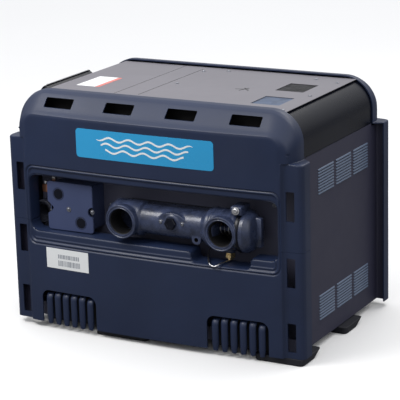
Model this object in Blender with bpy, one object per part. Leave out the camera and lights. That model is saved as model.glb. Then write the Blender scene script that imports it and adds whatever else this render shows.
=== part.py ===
"""Pool heater cabinet with its water header, gas train, blower and heat exchanger.

Metres, +Z up. The origin is on the floor under the middle of the cabinet. +X runs along the
end that carries the water header, which faces -Y. The control panel is on the -X side.
A distance called "deep" or "d" is measured inwards from the flat plane of that end's ears.
"""

import math

import bmesh
import bpy
from mathutils import Matrix, Vector

# Driving dimensions of the cabinet.
HALF_WIDTH = 0.391
HEIGHT = 0.584
NEAR_Y = -0.249
FAR_Y = 0.259
CROWN = 0.015
PANEL_WALL = 0.003
SHEET = 0.0015
GAP = 0.0003
PANEL_BOTTOM = 0.0167
SEAM_Z = 0.269
LEDGE_Z = 0.472
TOP_SHEET_Z = 0.577
SIDE_SHEET_X = 0.3655
FLANGE_X = 0.3865
SHOULDER_RADIUS = 0.070
# The top sheets and the shoulders run between the rims of the two ends.
TOP_NEAR = NEAR_Y + 0.0620
TOP_FAR = FAR_Y - 0.0620

# Hood rings: half width, top, corner radius, depth behind the ears, share of the crown.
HOOD_RINGS = (
    (0.337, 0.533, 0.030, 0.000, 1.00),
    (0.3565, 0.540, 0.0490, 0.007, 0.75),
    (0.366, 0.570, 0.064, 0.028, 0.15),
    (0.3675, 0.578, 0.070, 0.034, 0.00),
    (0.369, 0.584, 0.075, 0.045, 0.00),
    (0.369, 0.584, 0.075, 0.0615, 0.00),
)
# Ear rings: half width, depth behind the ear plane, share of the crown.
EAR_RINGS = (
    (0.340, 0.000, 1.0),
    (0.346, 0.006, 0.0),
    (0.380, 0.006, 0.0),
    (0.388, 0.010, 0.0),
    (HALF_WIDTH, 0.018, 0.0),
    (HALF_WIDTH, 0.045, 0.0),
)
FACE_COLUMNS = 8
HOOD_ARC_STEPS = 5

# Recess in the near end, where the water header sits.
RECESS_HALF = 0.331
RECESS_BOTTOM = 0.245
RECESS_TOP = 0.384
RECESS_RADIUS = 0.020
RECESS_LIP_DEPTH = 0.036
SCOOP_XS = (0.112, 0.262)
SCOOP_BOTTOM = 0.2205
BACK_PLATE_D = 0.078

# Water header.
HEADER_Z = 0.300
HEADER_D = 0.027
HEADER_RADIUS = 0.036
HOUSING_RADIUS = 0.0465
FLANGE_RADIUS = 0.050
PORT_XS = (-0.065, 0.196)
PORT_FACE_D = -0.025
PORT_OUTER = 0.0405
PORT_BORE = 0.026

# Ear slots, vents and louvres.
EAR_SLOT_BOTTOMS = (0.031, 0.185, 0.340)
EAR_SLOT_HEIGHT = 0.069
EAR_SLOT_X = (0.349, 0.370)
BAND_SLOT_CENTRES = (-0.2475, -0.0825, 0.0825, 0.2475)
GRILLE_START = 0.1575
GRILLE_PITCH = 0.0237
GRILLE_GAP = 0.0095
LOUVRE_GROUP_YS = (-0.066, 0.032, 0.130)
LOUVRE_GROUP_BOTTOMS = (0.067, 0.370)
LOUVRE_LENGTH = 0.085
LOUVRE_PITCH = 0.0102
LOUVRE_COUNT = 6

# Control panel, which leans on the left shoulder.
PANEL_TILT = math.radians(40)
PANEL_CENTRE_D = 0.190
KEYPAD_HALF_SLOPE = 0.034
KEYPAD_HALF_LENGTH = 0.105
LID_UNDERSIDE = 0.0040
LID_TOP = 0.0066
BUTTON_RADIUS = 0.0065

# Burners, on the floor of the combustion chamber.
BURNER_Z = 0.092
BURNER_COUNT = 4

IMPELLER_BLADES = 9

ROUND = 20
SMALL_ROUND = 12

MATERIALS = {}


# ---------------------------------------------------------------- helpers

def deep(distance):
    """Y of a point this far behind the near ear plane."""
    return NEAR_Y + distance


def clear_scene():
    for old in list(bpy.data.objects):
        bpy.data.objects.remove(old, do_unlink=True)


def material(name, colour, roughness, metallic=0.0):
    if name not in MATERIALS:
        made = bpy.data.materials.new(name)
        made.use_nodes = True
        shader = made.node_tree.nodes["Principled BSDF"]
        shader.inputs["Base Color"].default_value = (*colour, 1.0)
        shader.inputs["Roughness"].default_value = roughness
        shader.inputs["Metallic"].default_value = metallic
        MATERIALS[name] = made
    return MATERIALS[name]


def make_materials():
    material("cabinet_plastic", (0.030, 0.036, 0.060), 0.38)
    material("top_sheet_paint", (0.290, 0.262, 0.265), 0.55)
    material("side_sheet_paint", (0.052, 0.048, 0.060), 0.45)
    material("shoulder_plastic", (0.022, 0.025, 0.038), 0.25)
    material("header_plastic", (0.010, 0.010, 0.012), 0.35)
    material("rubber", (0.012, 0.012, 0.013), 0.80)
    material("steel", (0.55, 0.55, 0.56), 0.35, 1.0)
    material("galvanised", (0.42, 0.46, 0.52), 0.45, 0.9)
    material("copper", (0.72, 0.36, 0.22), 0.35, 1.0)
    material("brass", (0.72, 0.53, 0.24), 0.30, 1.0)
    material("circuit_board", (0.03, 0.16, 0.08), 0.50)
    material("clear_lens", (0.08, 0.10, 0.10), 0.08)
    material("cast_iron", (0.09, 0.09, 0.10), 0.65, 0.6)


def add_object(name, builder, material_name, smooth=False):
    """Close the bmesh into an object, with its faces pointing out."""
    bmesh.ops.recalc_face_normals(builder, faces=builder.faces)
    mesh = bpy.data.meshes.new(name)
    builder.to_mesh(mesh)
    builder.free()
    if smooth:
        mesh.shade_smooth()
        mesh.set_sharp_from_angle(angle=math.radians(35))
    made = bpy.data.objects.new(name, mesh)
    bpy.context.scene.collection.objects.link(made)
    made.data.materials.append(MATERIALS[material_name])
    return made


def add_loft(builder, loops, closed=False):
    """Skin between loops of equal length, capped at both ends or joined in a ring."""
    rows = [[builder.verts.new(point) for point in loop] for loop in loops]
    count = len(rows[0])
    pairs = list(zip(rows, rows[1:]))
    if closed:
        pairs.append((rows[-1], rows[0]))
    for lower, upper in pairs:
        for i in range(count):
            j = (i + 1) % count
            builder.faces.new((lower[i], lower[j], upper[j], upper[i]))
    if not closed:
        builder.faces.new(list(reversed(rows[0])))
        builder.faces.new(rows[-1])


def loft(name, loops, material_name, closed=False, smooth=False):
    builder = bmesh.new()
    add_loft(builder, loops, closed)
    return add_object(name, builder, material_name, smooth)


def place(outline, axis, offset):
    """Put a flat outline at an offset along X, Y or Z."""
    if axis == "X":
        return [(offset, a, b) for a, b in outline]
    if axis == "Y":
        return [(a, offset, b) for a, b in outline]
    return [(a, b, offset) for a, b in outline]


def prism_loops(outline, axis, start, end):
    return [place(outline, axis, start), place(outline, axis, end)]


def prism(name, outline, axis, start, end, material_name, smooth=False):
    return loft(name, prism_loops(outline, axis, start, end), material_name, smooth=smooth)


def rectangle(a0, a1, b0, b1):
    return [(a0, b0), (a1, b0), (a1, b1), (a0, b1)]


def rounded_rectangle(a0, a1, b0, b1, radius, steps=4):
    corners = ((a1 - radius, b0 + radius, -90), (a1 - radius, b1 - radius, 0),
               (a0 + radius, b1 - radius, 90), (a0 + radius, b0 + radius, 180))
    outline = []
    for centre_a, centre_b, start in corners:
        for step in range(steps + 1):
            angle = math.radians(start + 90 * step / steps)
            outline.append((centre_a + radius * math.cos(angle), centre_b + radius * math.sin(angle)))
    return outline


def circle(centre_a, centre_b, radius, segments):
    angles = [math.tau * i / segments for i in range(segments)]
    return [(centre_a + radius * math.cos(t), centre_b + radius * math.sin(t)) for t in angles]


def turned_loops(profile, centre, axis, segments):
    """Rings of a turned piece. The profile lists (radius, place along the axis)."""
    return [place(circle(*centre, radius, segments), axis, along) for radius, along in profile]


def turned(name, profile, centre, axis, material_name, segments=ROUND, closed=False):
    loops = turned_loops(profile, centre, axis, segments)
    return loft(name, loops, material_name, closed=closed, smooth=True)


def box(name, low, high, material_name):
    return prism(name, rectangle(low[0], high[0], low[1], high[1]), "Z", low[2], high[2], material_name)


def bevelled(piece, width, segments=2):
    modifier = piece.modifiers.new("Edges", "BEVEL")
    modifier.width = width
    modifier.segments = segments
    modifier.limit_method = "ANGLE"
    modifier.angle_limit = math.radians(40)
    return piece


def hide_guide(guide):
    guide.hide_render = True
    guide.display_type = "WIRE"


def combine(piece, guide, operation):
    hide_guide(guide)
    modifier = piece.modifiers.new(operation.title(), "BOOLEAN")
    modifier.object = guide
    modifier.operation = operation
    modifier.solver = "EXACT"


def cut(piece, guide):
    combine(piece, guide, "DIFFERENCE")


def join(piece, guide):
    combine(piece, guide, "UNION")


def many_boxes(name, boxes):
    """One cutter that holds several separate boxes, each (low corner, high corner)."""
    builder = bmesh.new()
    for low, high in boxes:
        add_loft(builder, prism_loops(rectangle(low[0], high[0], low[1], high[1]), "Z", low[2], high[2]))
    return add_object(name, builder, "steel")


def many_prisms(name, outlines, axis, start, end):
    builder = bmesh.new()
    for outline in outlines:
        add_loft(builder, prism_loops(outline, axis, start, end))
    return add_object(name, builder, "steel")


def bent_tube(name, points, radius, material_name, sides=2):
    """A round tube along points, with filled ends."""
    curve = bpy.data.curves.new(name, "CURVE")
    curve.dimensions = "3D"
    curve.bevel_depth = radius
    curve.bevel_resolution = sides
    curve.use_fill_caps = True
    spline = curve.splines.new("POLY")
    spline.points.add(len(points) - 1)
    for target, point in zip(spline.points, points):
        target.co = (*point, 1.0)
    made = bpy.data.objects.new(name, curve)
    bpy.context.scene.collection.objects.link(made)
    curve.materials.append(MATERIALS[material_name])
    return made


def smooth_route(knots, steps):
    """Points on a smooth curve through the knots (Catmull-Rom)."""
    ends = [2 * Vector(knots[0]) - Vector(knots[1])] + [Vector(k) for k in knots]
    ends.append(2 * Vector(knots[-1]) - Vector(knots[-2]))
    route = []
    for a, b, c, d in zip(ends, ends[1:], ends[2:], ends[3:]):
        for step in range(steps):
            t = step / steps
            route.append(0.5 * (2 * b + (c - a) * t + (2 * a - 5 * b + 4 * c - d) * t ** 2
                                + (3 * b - a - 3 * c + d) * t ** 3))
    route.append(Vector(knots[-1]))
    return route


def move_origin(piece, point):
    """Put the piece's origin on its joint's axis, without moving the piece."""
    piece.data.transform(Matrix.Translation(-Vector(point)))
    piece.location = point


# ---------------------------------------------------------------- end panels

def crowned_depth(x, depth, share):
    """Both ends bulge outwards in the middle."""
    return depth - share * CROWN * (1 - (x / HALF_WIDTH) ** 2)


def station_place(ring, station):
    """Half width, depth, crown share and height where a ring crosses a station."""
    kind, value = station
    if kind == "ear":
        half, depth, share = EAR_RINGS[ring]
        return half, depth, share, value
    half, top, radius, depth, share = HOOD_RINGS[ring]
    if kind == "hood":
        return half, depth, share, value
    angle = math.radians(value)
    x = half - radius + radius * math.cos(angle)
    return x, depth, share, top - radius + radius * math.sin(angle)


def end_panel(name, stations, hooded, far):
    """One moulded half of an end: a crowned face, and rings that run back to the side."""
    builder = bmesh.new()
    outwards = 1 if far else -1
    plane = FAR_Y if far else NEAR_Y

    def vertex(x, depth, share, z):
        return builder.verts.new((x, plane - outwards * crowned_depth(x, depth, share), z))

    grid = []
    for station in stations:
        half, depth, share, z = station_place(0, station)
        grid.append([vertex(half * (2 * k / FACE_COLUMNS - 1), depth, share, z)
                     for k in range(FACE_COLUMNS + 1)])
    sides = [([row[0] for row in grid], [row[-1] for row in grid], grid[-1])]
    for ring in range(1, len(EAR_RINGS)):
        left, right = [], []
        for station in stations:
            half, depth, share, z = station_place(ring, station)
            left.append(vertex(-half, depth, share, z))
            right.append(vertex(half, depth, share, z))
        top = [left[-1], right[-1]]
        if hooded:
            half, depth, share, z = station_place(ring, stations[-1])
            middle = [vertex(half * (2 * k / FACE_COLUMNS - 1), depth, share, z)
                      for k in range(1, FACE_COLUMNS)]
            top = [left[-1], *middle, right[-1]]
        sides.append((left, right, top))

    for lower, upper in zip(grid, grid[1:]):
        skin_strip(builder, lower, upper)
    for (left, right, top), (next_left, next_right, next_top) in zip(sides, sides[1:]):
        skin_strip(builder, next_left, left)
        skin_strip(builder, right, next_right)
        if hooded:
            skin_strip(builder, top, next_top)

    bmesh.ops.recalc_face_normals(builder, faces=builder.faces)
    builder.faces.ensure_lookup_table()
    if builder.faces[0].normal.y * outwards < 0:
        bmesh.ops.reverse_faces(builder, faces=builder.faces)
    mesh = bpy.data.meshes.new(name)
    builder.to_mesh(mesh)
    builder.free()
    made = bpy.data.objects.new(name, mesh)
    bpy.context.scene.collection.objects.link(made)
    mesh.materials.append(MATERIALS["cabinet_plastic"])
    wall = made.modifiers.new("Wall", "SOLIDIFY")
    wall.thickness = PANEL_WALL
    wall.offset = -1
    wall.use_even_offset = True
    return made


def skin_strip(builder, lower, upper):
    for i in range(len(lower) - 1):
        builder.faces.new((lower[i], lower[i + 1], upper[i + 1], upper[i]))


def upper_stations():
    arc = [("arc", 90 * step / HOOD_ARC_STEPS) for step in range(HOOD_ARC_STEPS + 1)]
    return [("ear", SEAM_Z + GAP), ("ear", LEDGE_Z - 0.004), ("hood", LEDGE_Z), *arc]


def lower_stations():
    return [("ear", PANEL_BOTTOM), ("ear", SEAM_Z - GAP)]


def ear_slot_cutter(name, bottoms, far):
    """Boxes through both ears' faces."""
    start, end = (FAR_Y - 0.014, FAR_Y) if far else (NEAR_Y, NEAR_Y + 0.014)
    boxes = []
    for bottom in bottoms:
        for side in (-1, 1):
            xs = sorted((side * EAR_SLOT_X[0], side * EAR_SLOT_X[1]))
            boxes.append(((xs[0], start, bottom), (xs[1], end, bottom + EAR_SLOT_HEIGHT)))
    return many_boxes(name, boxes)


def band_slot_cutter(name, far):
    """Four vent slots through the band that slopes back to the rim."""
    outlines = [rectangle(x - 0.0385, x + 0.0385, 0.5485, 0.5695) for x in BAND_SLOT_CENTRES]
    start, end = (FAR_Y - 0.05, FAR_Y + 0.03) if far else (NEAR_Y - 0.03, NEAR_Y + 0.05)
    return many_prisms(name, outlines, "Y", start, end)


def grille_cutter(name, far):
    """Seven gaps between six ribs at each lower corner, open at the bottom."""
    outlines = []
    for side in (-1, 1):
        for index in range(7):
            centre = side * (GRILLE_START + GRILLE_PITCH * index)
            top = 0.089 if index in (0, 6) else 0.096
            outlines.append([(centre - GRILLE_GAP / 2, 0.0), (centre + GRILLE_GAP / 2, 0.0),
                             (centre + GRILLE_GAP / 2, top - 0.003), (centre + 0.002, top),
                             (centre - 0.002, top), (centre - GRILLE_GAP / 2, top - 0.003)])
    start, end = (FAR_Y - 0.02, FAR_Y + 0.03) if far else (NEAR_Y - 0.03, NEAR_Y + 0.02)
    return many_prisms(name, outlines, "Y", start, end)


def recess_outline():
    """The opening around the header, with a scoop in its sill under the second port."""
    low, corner = RECESS_BOTTOM, 0.006
    left, right = SCOOP_XS
    outline = rounded_rectangle(-RECESS_HALF, RECESS_HALF, low, RECESS_TOP, RECESS_RADIUS)
    scoop = [(left - corner, low), (left, low - corner), (left, SCOOP_BOTTOM + 0.012),
             (left + 0.012, SCOOP_BOTTOM), (right - 0.012, SCOOP_BOTTOM),
             (right, SCOOP_BOTTOM + 0.012), (right, low - corner), (right + corner, low)]
    return outline + scoop


def offset_path(path, distance):
    """Move an open path sideways, to the right of its direction, with mitred corners."""
    moved = []
    for i, point in enumerate(path):
        normals = []
        for a, b in ((max(i - 1, 0), max(i, 1)), (min(i, len(path) - 2), min(i + 1, len(path) - 1))):
            run = Vector(path[b]) - Vector(path[a])
            normals.append(Vector((run.y, -run.x)).normalized())
        middle = (normals[0] + normals[1]).normalized()
        moved.append(Vector(point) + middle * distance / max(middle.dot(normals[0]), 0.3))
    return moved


def recess_lip(name, upper):
    """Half of the wall that turns inwards around the recess. It follows the crown."""
    outline = recess_outline()
    first_left = next(i for i, point in enumerate(outline) if point[0] < 0 and point[1] < SEAM_Z)
    if upper:
        split = SEAM_Z + 0.001
        path = [p for p in outline if p[1] > split]
        path = [(RECESS_HALF, split), *path, (-RECESS_HALF, split)]
    else:
        split = SEAM_Z - 0.001
        path = [p for p in outline[first_left:] + outline[:first_left] if p[1] < split]
        path = [(-RECESS_HALF, split), *path, (RECESS_HALF, split)]
    loops = []
    for (x, _), inner, outer in zip(path, offset_path(path, -0.001), offset_path(path, 0.003)):
        front, back = deep(crowned_depth(x, 0.001, 1.0)), deep(RECESS_LIP_DEPTH)
        loops.append([(inner.x, front, inner.y), (outer.x, front, outer.y),
                      (outer.x, back, outer.y), (inner.x, back, inner.y)])
    return loft(name, loops, "cabinet_plastic")


def make_end_panels():
    recess_cutter = prism("recess_cutter", recess_outline(), "Y", NEAR_Y - 0.03, NEAR_Y + 0.03, "steel")
    for far in (False, True):
        end = "far" if far else "near"
        upper = end_panel(f"{end}_upper_panel", upper_stations(), True, far)
        lower = end_panel(f"{end}_lower_panel", lower_stations(), False, far)
        cut(upper, ear_slot_cutter(f"{end}_upper_ear_slots", EAR_SLOT_BOTTOMS[2:], far))
        cut(upper, band_slot_cutter(f"{end}_band_slots", far))
        cut(lower, ear_slot_cutter(f"{end}_lower_ear_slots", EAR_SLOT_BOTTOMS[:2], far))
        cut(lower, grille_cutter(f"{end}_grille_gaps", far))
        if not far:
            cut(upper, recess_cutter)
            join(upper, recess_lip("upper_recess_lip", True))
            cut(lower, recess_cutter)
            join(lower, recess_lip("lower_recess_lip", False))


# ---------------------------------------------------------------- base, sides and top

def make_base():
    side, near, far = 0.361, deep(0.040), deep(0.468)
    low, high, wall = PANEL_BOTTOM + 0.0003, 0.050, 0.002
    outer = rounded_rectangle(-side, side, near, far, 0.010, 3)
    inner = rounded_rectangle(-side + wall, side - wall, near + wall, far - wall, 0.008, 3)
    loops = [place(outer, "Z", low), place(outer, "Z", high),
             place(inner, "Z", high), place(inner, "Z", low + wall)]
    loft("base_pan", loops, "galvanised")


def make_foot(name, x0, x1, y0, y1, taper_x, taper_y):
    """A moulded block that narrows towards the floor on its hidden sides."""
    top = PANEL_BOTTOM - GAP
    grow_x = (min(taper_x, 0), max(taper_x, 0))
    grow_y = (min(taper_y, 0), max(taper_y, 0))
    floor = rounded_rectangle(x0 + 0.002, x1 - 0.002, y0 + 0.002, y1 - 0.002, 0.008, 3)
    low = rounded_rectangle(x0, x1, y0, y1, 0.010, 3)
    high = rounded_rectangle(x0 + grow_x[0], x1 + grow_x[1], y0 + grow_y[0], y1 + grow_y[1], 0.010, 3)
    loft(name, [place(floor, "Z", 0), place(low, "Z", 0.002), place(high, "Z", top)], "cabinet_plastic")


def make_feet():
    """Three feet, and three more placed by a half turn about the middle."""
    middle = (NEAR_Y + FAR_Y) / 2
    feet = (("near_right", "far_left", 0.263, 0.387, deep(0.004), deep(0.075), 0, 0.030),
            ("near_left", "far_right", -0.165, -0.024, deep(0.004), deep(0.075), 0, 0.030),
            ("right_side", "left_side", 0.300, 0.386, deep(0.245), deep(0.314), 0, 0.030))
    for name, turned_name, x0, x1, y0, y1, taper_x, taper_y in feet:
        make_foot(f"foot_{name}", x0, x1, y0, y1, taper_x, taper_y)
        make_foot(f"foot_{turned_name}", -x1, -x0, 2 * middle - y1, 2 * middle - y0, -taper_x, -taper_y)


def side_sheet_outline(side):
    """Plan of a side sheet: a long face with a flange turned out at each end."""
    x, flange, near, far = SIDE_SHEET_X, FLANGE_X, deep(0.030), deep(0.478)
    outline = [(flange, near), (flange, near + SHEET), (x, near + SHEET), (x, far - SHEET),
               (flange, far - SHEET), (flange, far), (x - SHEET, far), (x - SHEET, near)]
    return [(side * a, b) for a, b in outline]


def louvre_boxes(side):
    boxes = []
    xs = sorted((side * (SIDE_SHEET_X - 0.01), side * (SIDE_SHEET_X + 0.01)))
    for bottom in LOUVRE_GROUP_BOTTOMS:
        for centre in LOUVRE_GROUP_YS:
            for index in range(LOUVRE_COUNT):
                z = bottom + LOUVRE_PITCH * index
                boxes.append(((xs[0], centre - LOUVRE_LENGTH / 2, z),
                              (xs[1], centre + LOUVRE_LENGTH / 2, z + 0.0050)))
    return boxes


def ledge_notches(side):
    """Room for the ends' ledges at the two top corners of a side sheet."""
    xs = sorted((side * (SIDE_SHEET_X - 0.01), side * (FLANGE_X + 0.01)))
    low, high = LEDGE_Z - 0.008, LEDGE_Z + 0.01
    return [((xs[0], NEAR_Y, low), (xs[1], TOP_NEAR + GAP, high)),
            ((xs[0], TOP_FAR - GAP, low), (xs[1], FAR_Y, high))]


def make_sides():
    low, high = PANEL_BOTTOM + 0.002, LEDGE_Z - 0.001
    right = prism("right_side_panel", side_sheet_outline(1), "Z", low, high, "side_sheet_paint")
    cut(right, many_boxes("right_louvre_slots", louvre_boxes(1) + ledge_notches(1)))
    left = prism("left_service_panel", side_sheet_outline(-1), "Z", low, high, "side_sheet_paint")
    handle = rounded_rectangle(deep(0.204), deep(0.304), 0.405, 0.430, 0.0120, 4)
    cut(left, many_boxes("left_ledge_notches", ledge_notches(-1)))
    cut(left, prism("finger_pull_cutter", handle, "X", -SIDE_SHEET_X - 0.01, -SIDE_SHEET_X + 0.01, "steel"))


def shoulder_outline(side):
    """Curved sheet from the side panel's top up to the edge of the top cover."""
    centre_x, centre_z = SIDE_SHEET_X - SHOULDER_RADIUS, TOP_SHEET_Z - SHOULDER_RADIUS
    wall = 0.002
    outer = [(SIDE_SHEET_X, LEDGE_Z + 0.0005)]
    inner = [(SIDE_SHEET_X - wall, LEDGE_Z + 0.0005)]
    steps = 10
    for step in range(steps + 1):
        angle = math.radians(72 * step / steps)
        for points, radius in ((outer, SHOULDER_RADIUS), (inner, SHOULDER_RADIUS - wall)):
            points.append((centre_x + radius * math.cos(angle), centre_z + radius * math.sin(angle)))
    return [(side * a, b) for a, b in outer + inner[::-1]]


def make_shoulders():
    for side, name in ((1, "right_shoulder"), (-1, "left_shoulder")):
        outline = shoulder_outline(side)
        shoulder = prism(name, outline, "Y", TOP_NEAR, TOP_FAR, "shoulder_plastic", smooth=True)
        if side < 0:
            cut(shoulder, tilted_block("keypad_opening", KEYPAD_HALF_SLOPE + 0.0005,
                                       KEYPAD_HALF_LENGTH + 0.0005, -0.03, 0.03, "steel"))


def make_top():
    near, far = TOP_NEAR, TOP_FAR
    low, high = TOP_SHEET_Z - SHEET, TOP_SHEET_Z
    cover = box("top_cover", (-0.1390, near, low), (0.3270, far, high), "top_sheet_paint")
    vents = [((0.2005, deep(0.2600), low - 0.01), (0.2735, deep(0.3470), high + 0.01)),
             ((0.2095, deep(0.1140), low - 0.01), (0.2825, deep(0.1970), high + 0.01))]
    cut(cover, many_boxes("top_vent_openings", vents))
    box("left_top_sheet", (-0.3165, near, low), (-0.1396, far, high), "top_sheet_paint")
    grille_low = low - GAP - 0.0015
    grille = box("exhaust_grille", (0.1950, deep(0.2550), grille_low),
                 (0.2790, deep(0.3520), low - GAP), "steel")
    bars = []
    for column in range(4):
        for row in range(5):
            x = 0.2045 + 0.0170 * column
            y = deep(0.2635) + 0.0165 * row
            bars.append(((x, y, grille_low - 0.01), (x + 0.0140, y + 0.0135, low + 0.01)))
    cut(grille, many_boxes("grille_mesh_holes", bars))
    box("access_plate", (0.2040, deep(0.1090), grille_low), (0.2880, deep(0.2020), low - GAP), "galvanised")


# ---------------------------------------------------------------- control panel

def tilted_matrix():
    """Frame of the keypad: x runs up the slope, y along the cabinet, z outwards."""
    outward = Vector((-math.cos(PANEL_TILT), 0, math.sin(PANEL_TILT)))
    up_slope = Vector((math.sin(PANEL_TILT), 0, math.cos(PANEL_TILT)))
    along = outward.cross(up_slope)
    centre = Vector((-SIDE_SHEET_X + SHOULDER_RADIUS, deep(PANEL_CENTRE_D), TOP_SHEET_Z - SHOULDER_RADIUS))
    centre += SHOULDER_RADIUS * outward
    turn = Matrix((up_slope, along, outward)).transposed().to_4x4()
    return Matrix.Translation(centre) @ turn


def tilt(piece):
    piece.data.transform(tilted_matrix())
    return piece


def tilted_block(name, half_slope, half_length, low, high, material_name):
    outline = rounded_rectangle(-half_slope, half_slope, -half_length, half_length, 0.004, 2)
    return tilt(prism(name, outline, "Z", low, high, material_name))


def button_places():
    return [(-0.014, -0.066 + 0.036 * index) for index in range(4)]


def make_control_panel():
    bezel = tilted_block("control_bezel", KEYPAD_HALF_SLOPE, KEYPAD_HALF_LENGTH, -0.012, 0.002,
                         "shoulder_plastic")
    lens_pocket = tilt(prism("lens_pocket", rectangle(0.0045, 0.0275, -0.0455, 0.0455), "Z",
                             -0.0015, 0.01, "steel"))
    cut(bezel, lens_pocket)
    holes = [circle(*spot, BUTTON_RADIUS + 0.0005, SMALL_ROUND) for spot in button_places()]
    cut(bezel, tilt(many_prisms("button_holes", holes, "Z", -0.02, 0.01)))
    tilt(prism("display_lens", rectangle(0.0050, 0.0270, -0.0450, 0.0450), "Z",
               -0.0012, 0.0018, "clear_lens"))
    names = ("button_mode", "button_set", "button_down", "button_up")
    for name, spot in zip(names, button_places()):
        loops = [place(circle(*spot, BUTTON_RADIUS, SMALL_ROUND), "Z", -0.0050),
                 place(circle(*spot, BUTTON_RADIUS, SMALL_ROUND), "Z", 0.0026),
                 place(circle(*spot, BUTTON_RADIUS - 0.0008, SMALL_ROUND), "Z", 0.0034)]
        button = tilt(loft(name, loops, "rubber", smooth=True))
        move_origin(button, tilted_matrix() @ Vector((*spot, 0)))

    lid_loops = [place(rounded_rectangle(-0.0360, 0.0335, -0.107, 0.107, 0.005, 3), "Z", LID_UNDERSIDE),
                 place(rounded_rectangle(-0.0360, 0.0335, -0.107, 0.107, 0.005, 3), "Z", LID_TOP - 0.001),
                 place(rounded_rectangle(-0.0350, 0.0325, -0.106, 0.106, 0.005, 3), "Z", LID_TOP)]
    lid = tilt(loft("control_lid", lid_loops, "shoulder_plastic", smooth=True))
    move_origin(lid, hinge_line())
    pin_loops = turned_loops([(0.0011, -0.095), (0.0011, 0.095)], (0.0355, 0.0055), "Y", SMALL_ROUND)
    tilt(loft("lid_hinge_pin", pin_loops, "steel", smooth=True))


def hinge_line():
    """A point on the lid's hinge axis."""
    return tilted_matrix() @ Vector((0.0355, 0, 0.0055))


def make_control_electronics():
    board = box("control_board", (-0.3200, deep(0.080), 0.340), (-0.3184, deep(0.300), 0.455),
                "circuit_board")
    parts = [((-0.3190, deep(0.095), 0.352), (-0.3020, deep(0.125), 0.382)),
             ((-0.3190, deep(0.095), 0.395), (-0.3020, deep(0.125), 0.425)),
             ((-0.3190, deep(0.150), 0.360), (-0.3100, deep(0.200), 0.380)),
             ((-0.3190, deep(0.220), 0.352), (-0.2960, deep(0.285), 0.372)),
             ((-0.3190, deep(0.220), 0.410), (-0.3060, deep(0.285), 0.440))]
    join(board, many_boxes("board_components", parts))
    core = box("transformer", (-0.325, deep(0.350), 0.060), (-0.265, deep(0.420), 0.130), "cast_iron")
    bobbin = box("transformer_bobbin", (-0.337, deep(0.362), 0.072), (-0.253, deep(0.408), 0.118), "copper")
    join(core, bobbin)
    foot = box("transformer_bracket", (-0.340, deep(0.355), 0.0195), (-0.250, deep(0.415), 0.062), "steel")
    join(core, foot)


# ---------------------------------------------------------------- water header

def header_axis():
    return deep(HEADER_D), HEADER_Z


def make_header():
    axis = header_axis()
    body_profile = [(0.022, -0.116), (0.032, -0.113), (HEADER_RADIUS, -0.106), (HEADER_RADIUS, 0.140),
                    (HOUSING_RADIUS, 0.152), (HOUSING_RADIUS, 0.226), (FLANGE_RADIUS, 0.228), (FLANGE_RADIUS, 0.240)]
    body = turned("header_body", body_profile, axis, "X", "header_plastic")
    for index, x in enumerate(PORT_XS):
        stub_profile = [(0.033, deep(HEADER_D)), (0.033, deep(PORT_FACE_D + 0.022)),
                        (PORT_OUTER, deep(PORT_FACE_D + 0.020)), (PORT_OUTER, deep(PORT_FACE_D + 0.002)),
                        (PORT_OUTER - 0.002, deep(PORT_FACE_D))]
        stub = turned(f"port_stub_{index + 1}", stub_profile, (x, HEADER_Z), "Y", "header_plastic")
        join(body, stub)
    saddle = box("header_saddle", (-0.095, deep(0.040), 0.270), (0.225, deep(0.0740), 0.330), "header_plastic")
    join(body, saddle)
    boss = turned("plug_boss", [(0.019, deep(-0.010)), (0.021, deep(0.020))], (0.062, 0.307), "Y",
                  "header_plastic", SMALL_ROUND)
    join(body, boss)
    fitting_boss = turned("fitting_boss", [(0.012, 0.2445), (0.014, 0.262)], (0.196, deep(HEADER_D)), "Z",
                          "header_plastic", SMALL_ROUND)
    join(body, fitting_boss)

    bores = [turned("main_bore", [(0.029, -0.104), (0.029, 0.168)], axis, "X", "steel"),
             turned("housing_bore", [(0.043, 0.163), (0.043, 0.245)], axis, "X", "steel")]
    for index, x in enumerate(PORT_XS):
        bores.append(turned(f"port_bore_{index + 1}", [(PORT_BORE, deep(-0.04)), (PORT_BORE, deep(0.0201))],
                            (x, HEADER_Z), "Y", "steel"))
    for index, x in enumerate((-0.045, 0.200)):
        bores.append(turned(f"tube_way_{index + 1}", [(0.020, deep(0.03)), (0.020, deep(0.09))],
                            (x, HEADER_Z), "Y", "steel"))
    for bore in bores:
        cut(body, bore)


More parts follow.
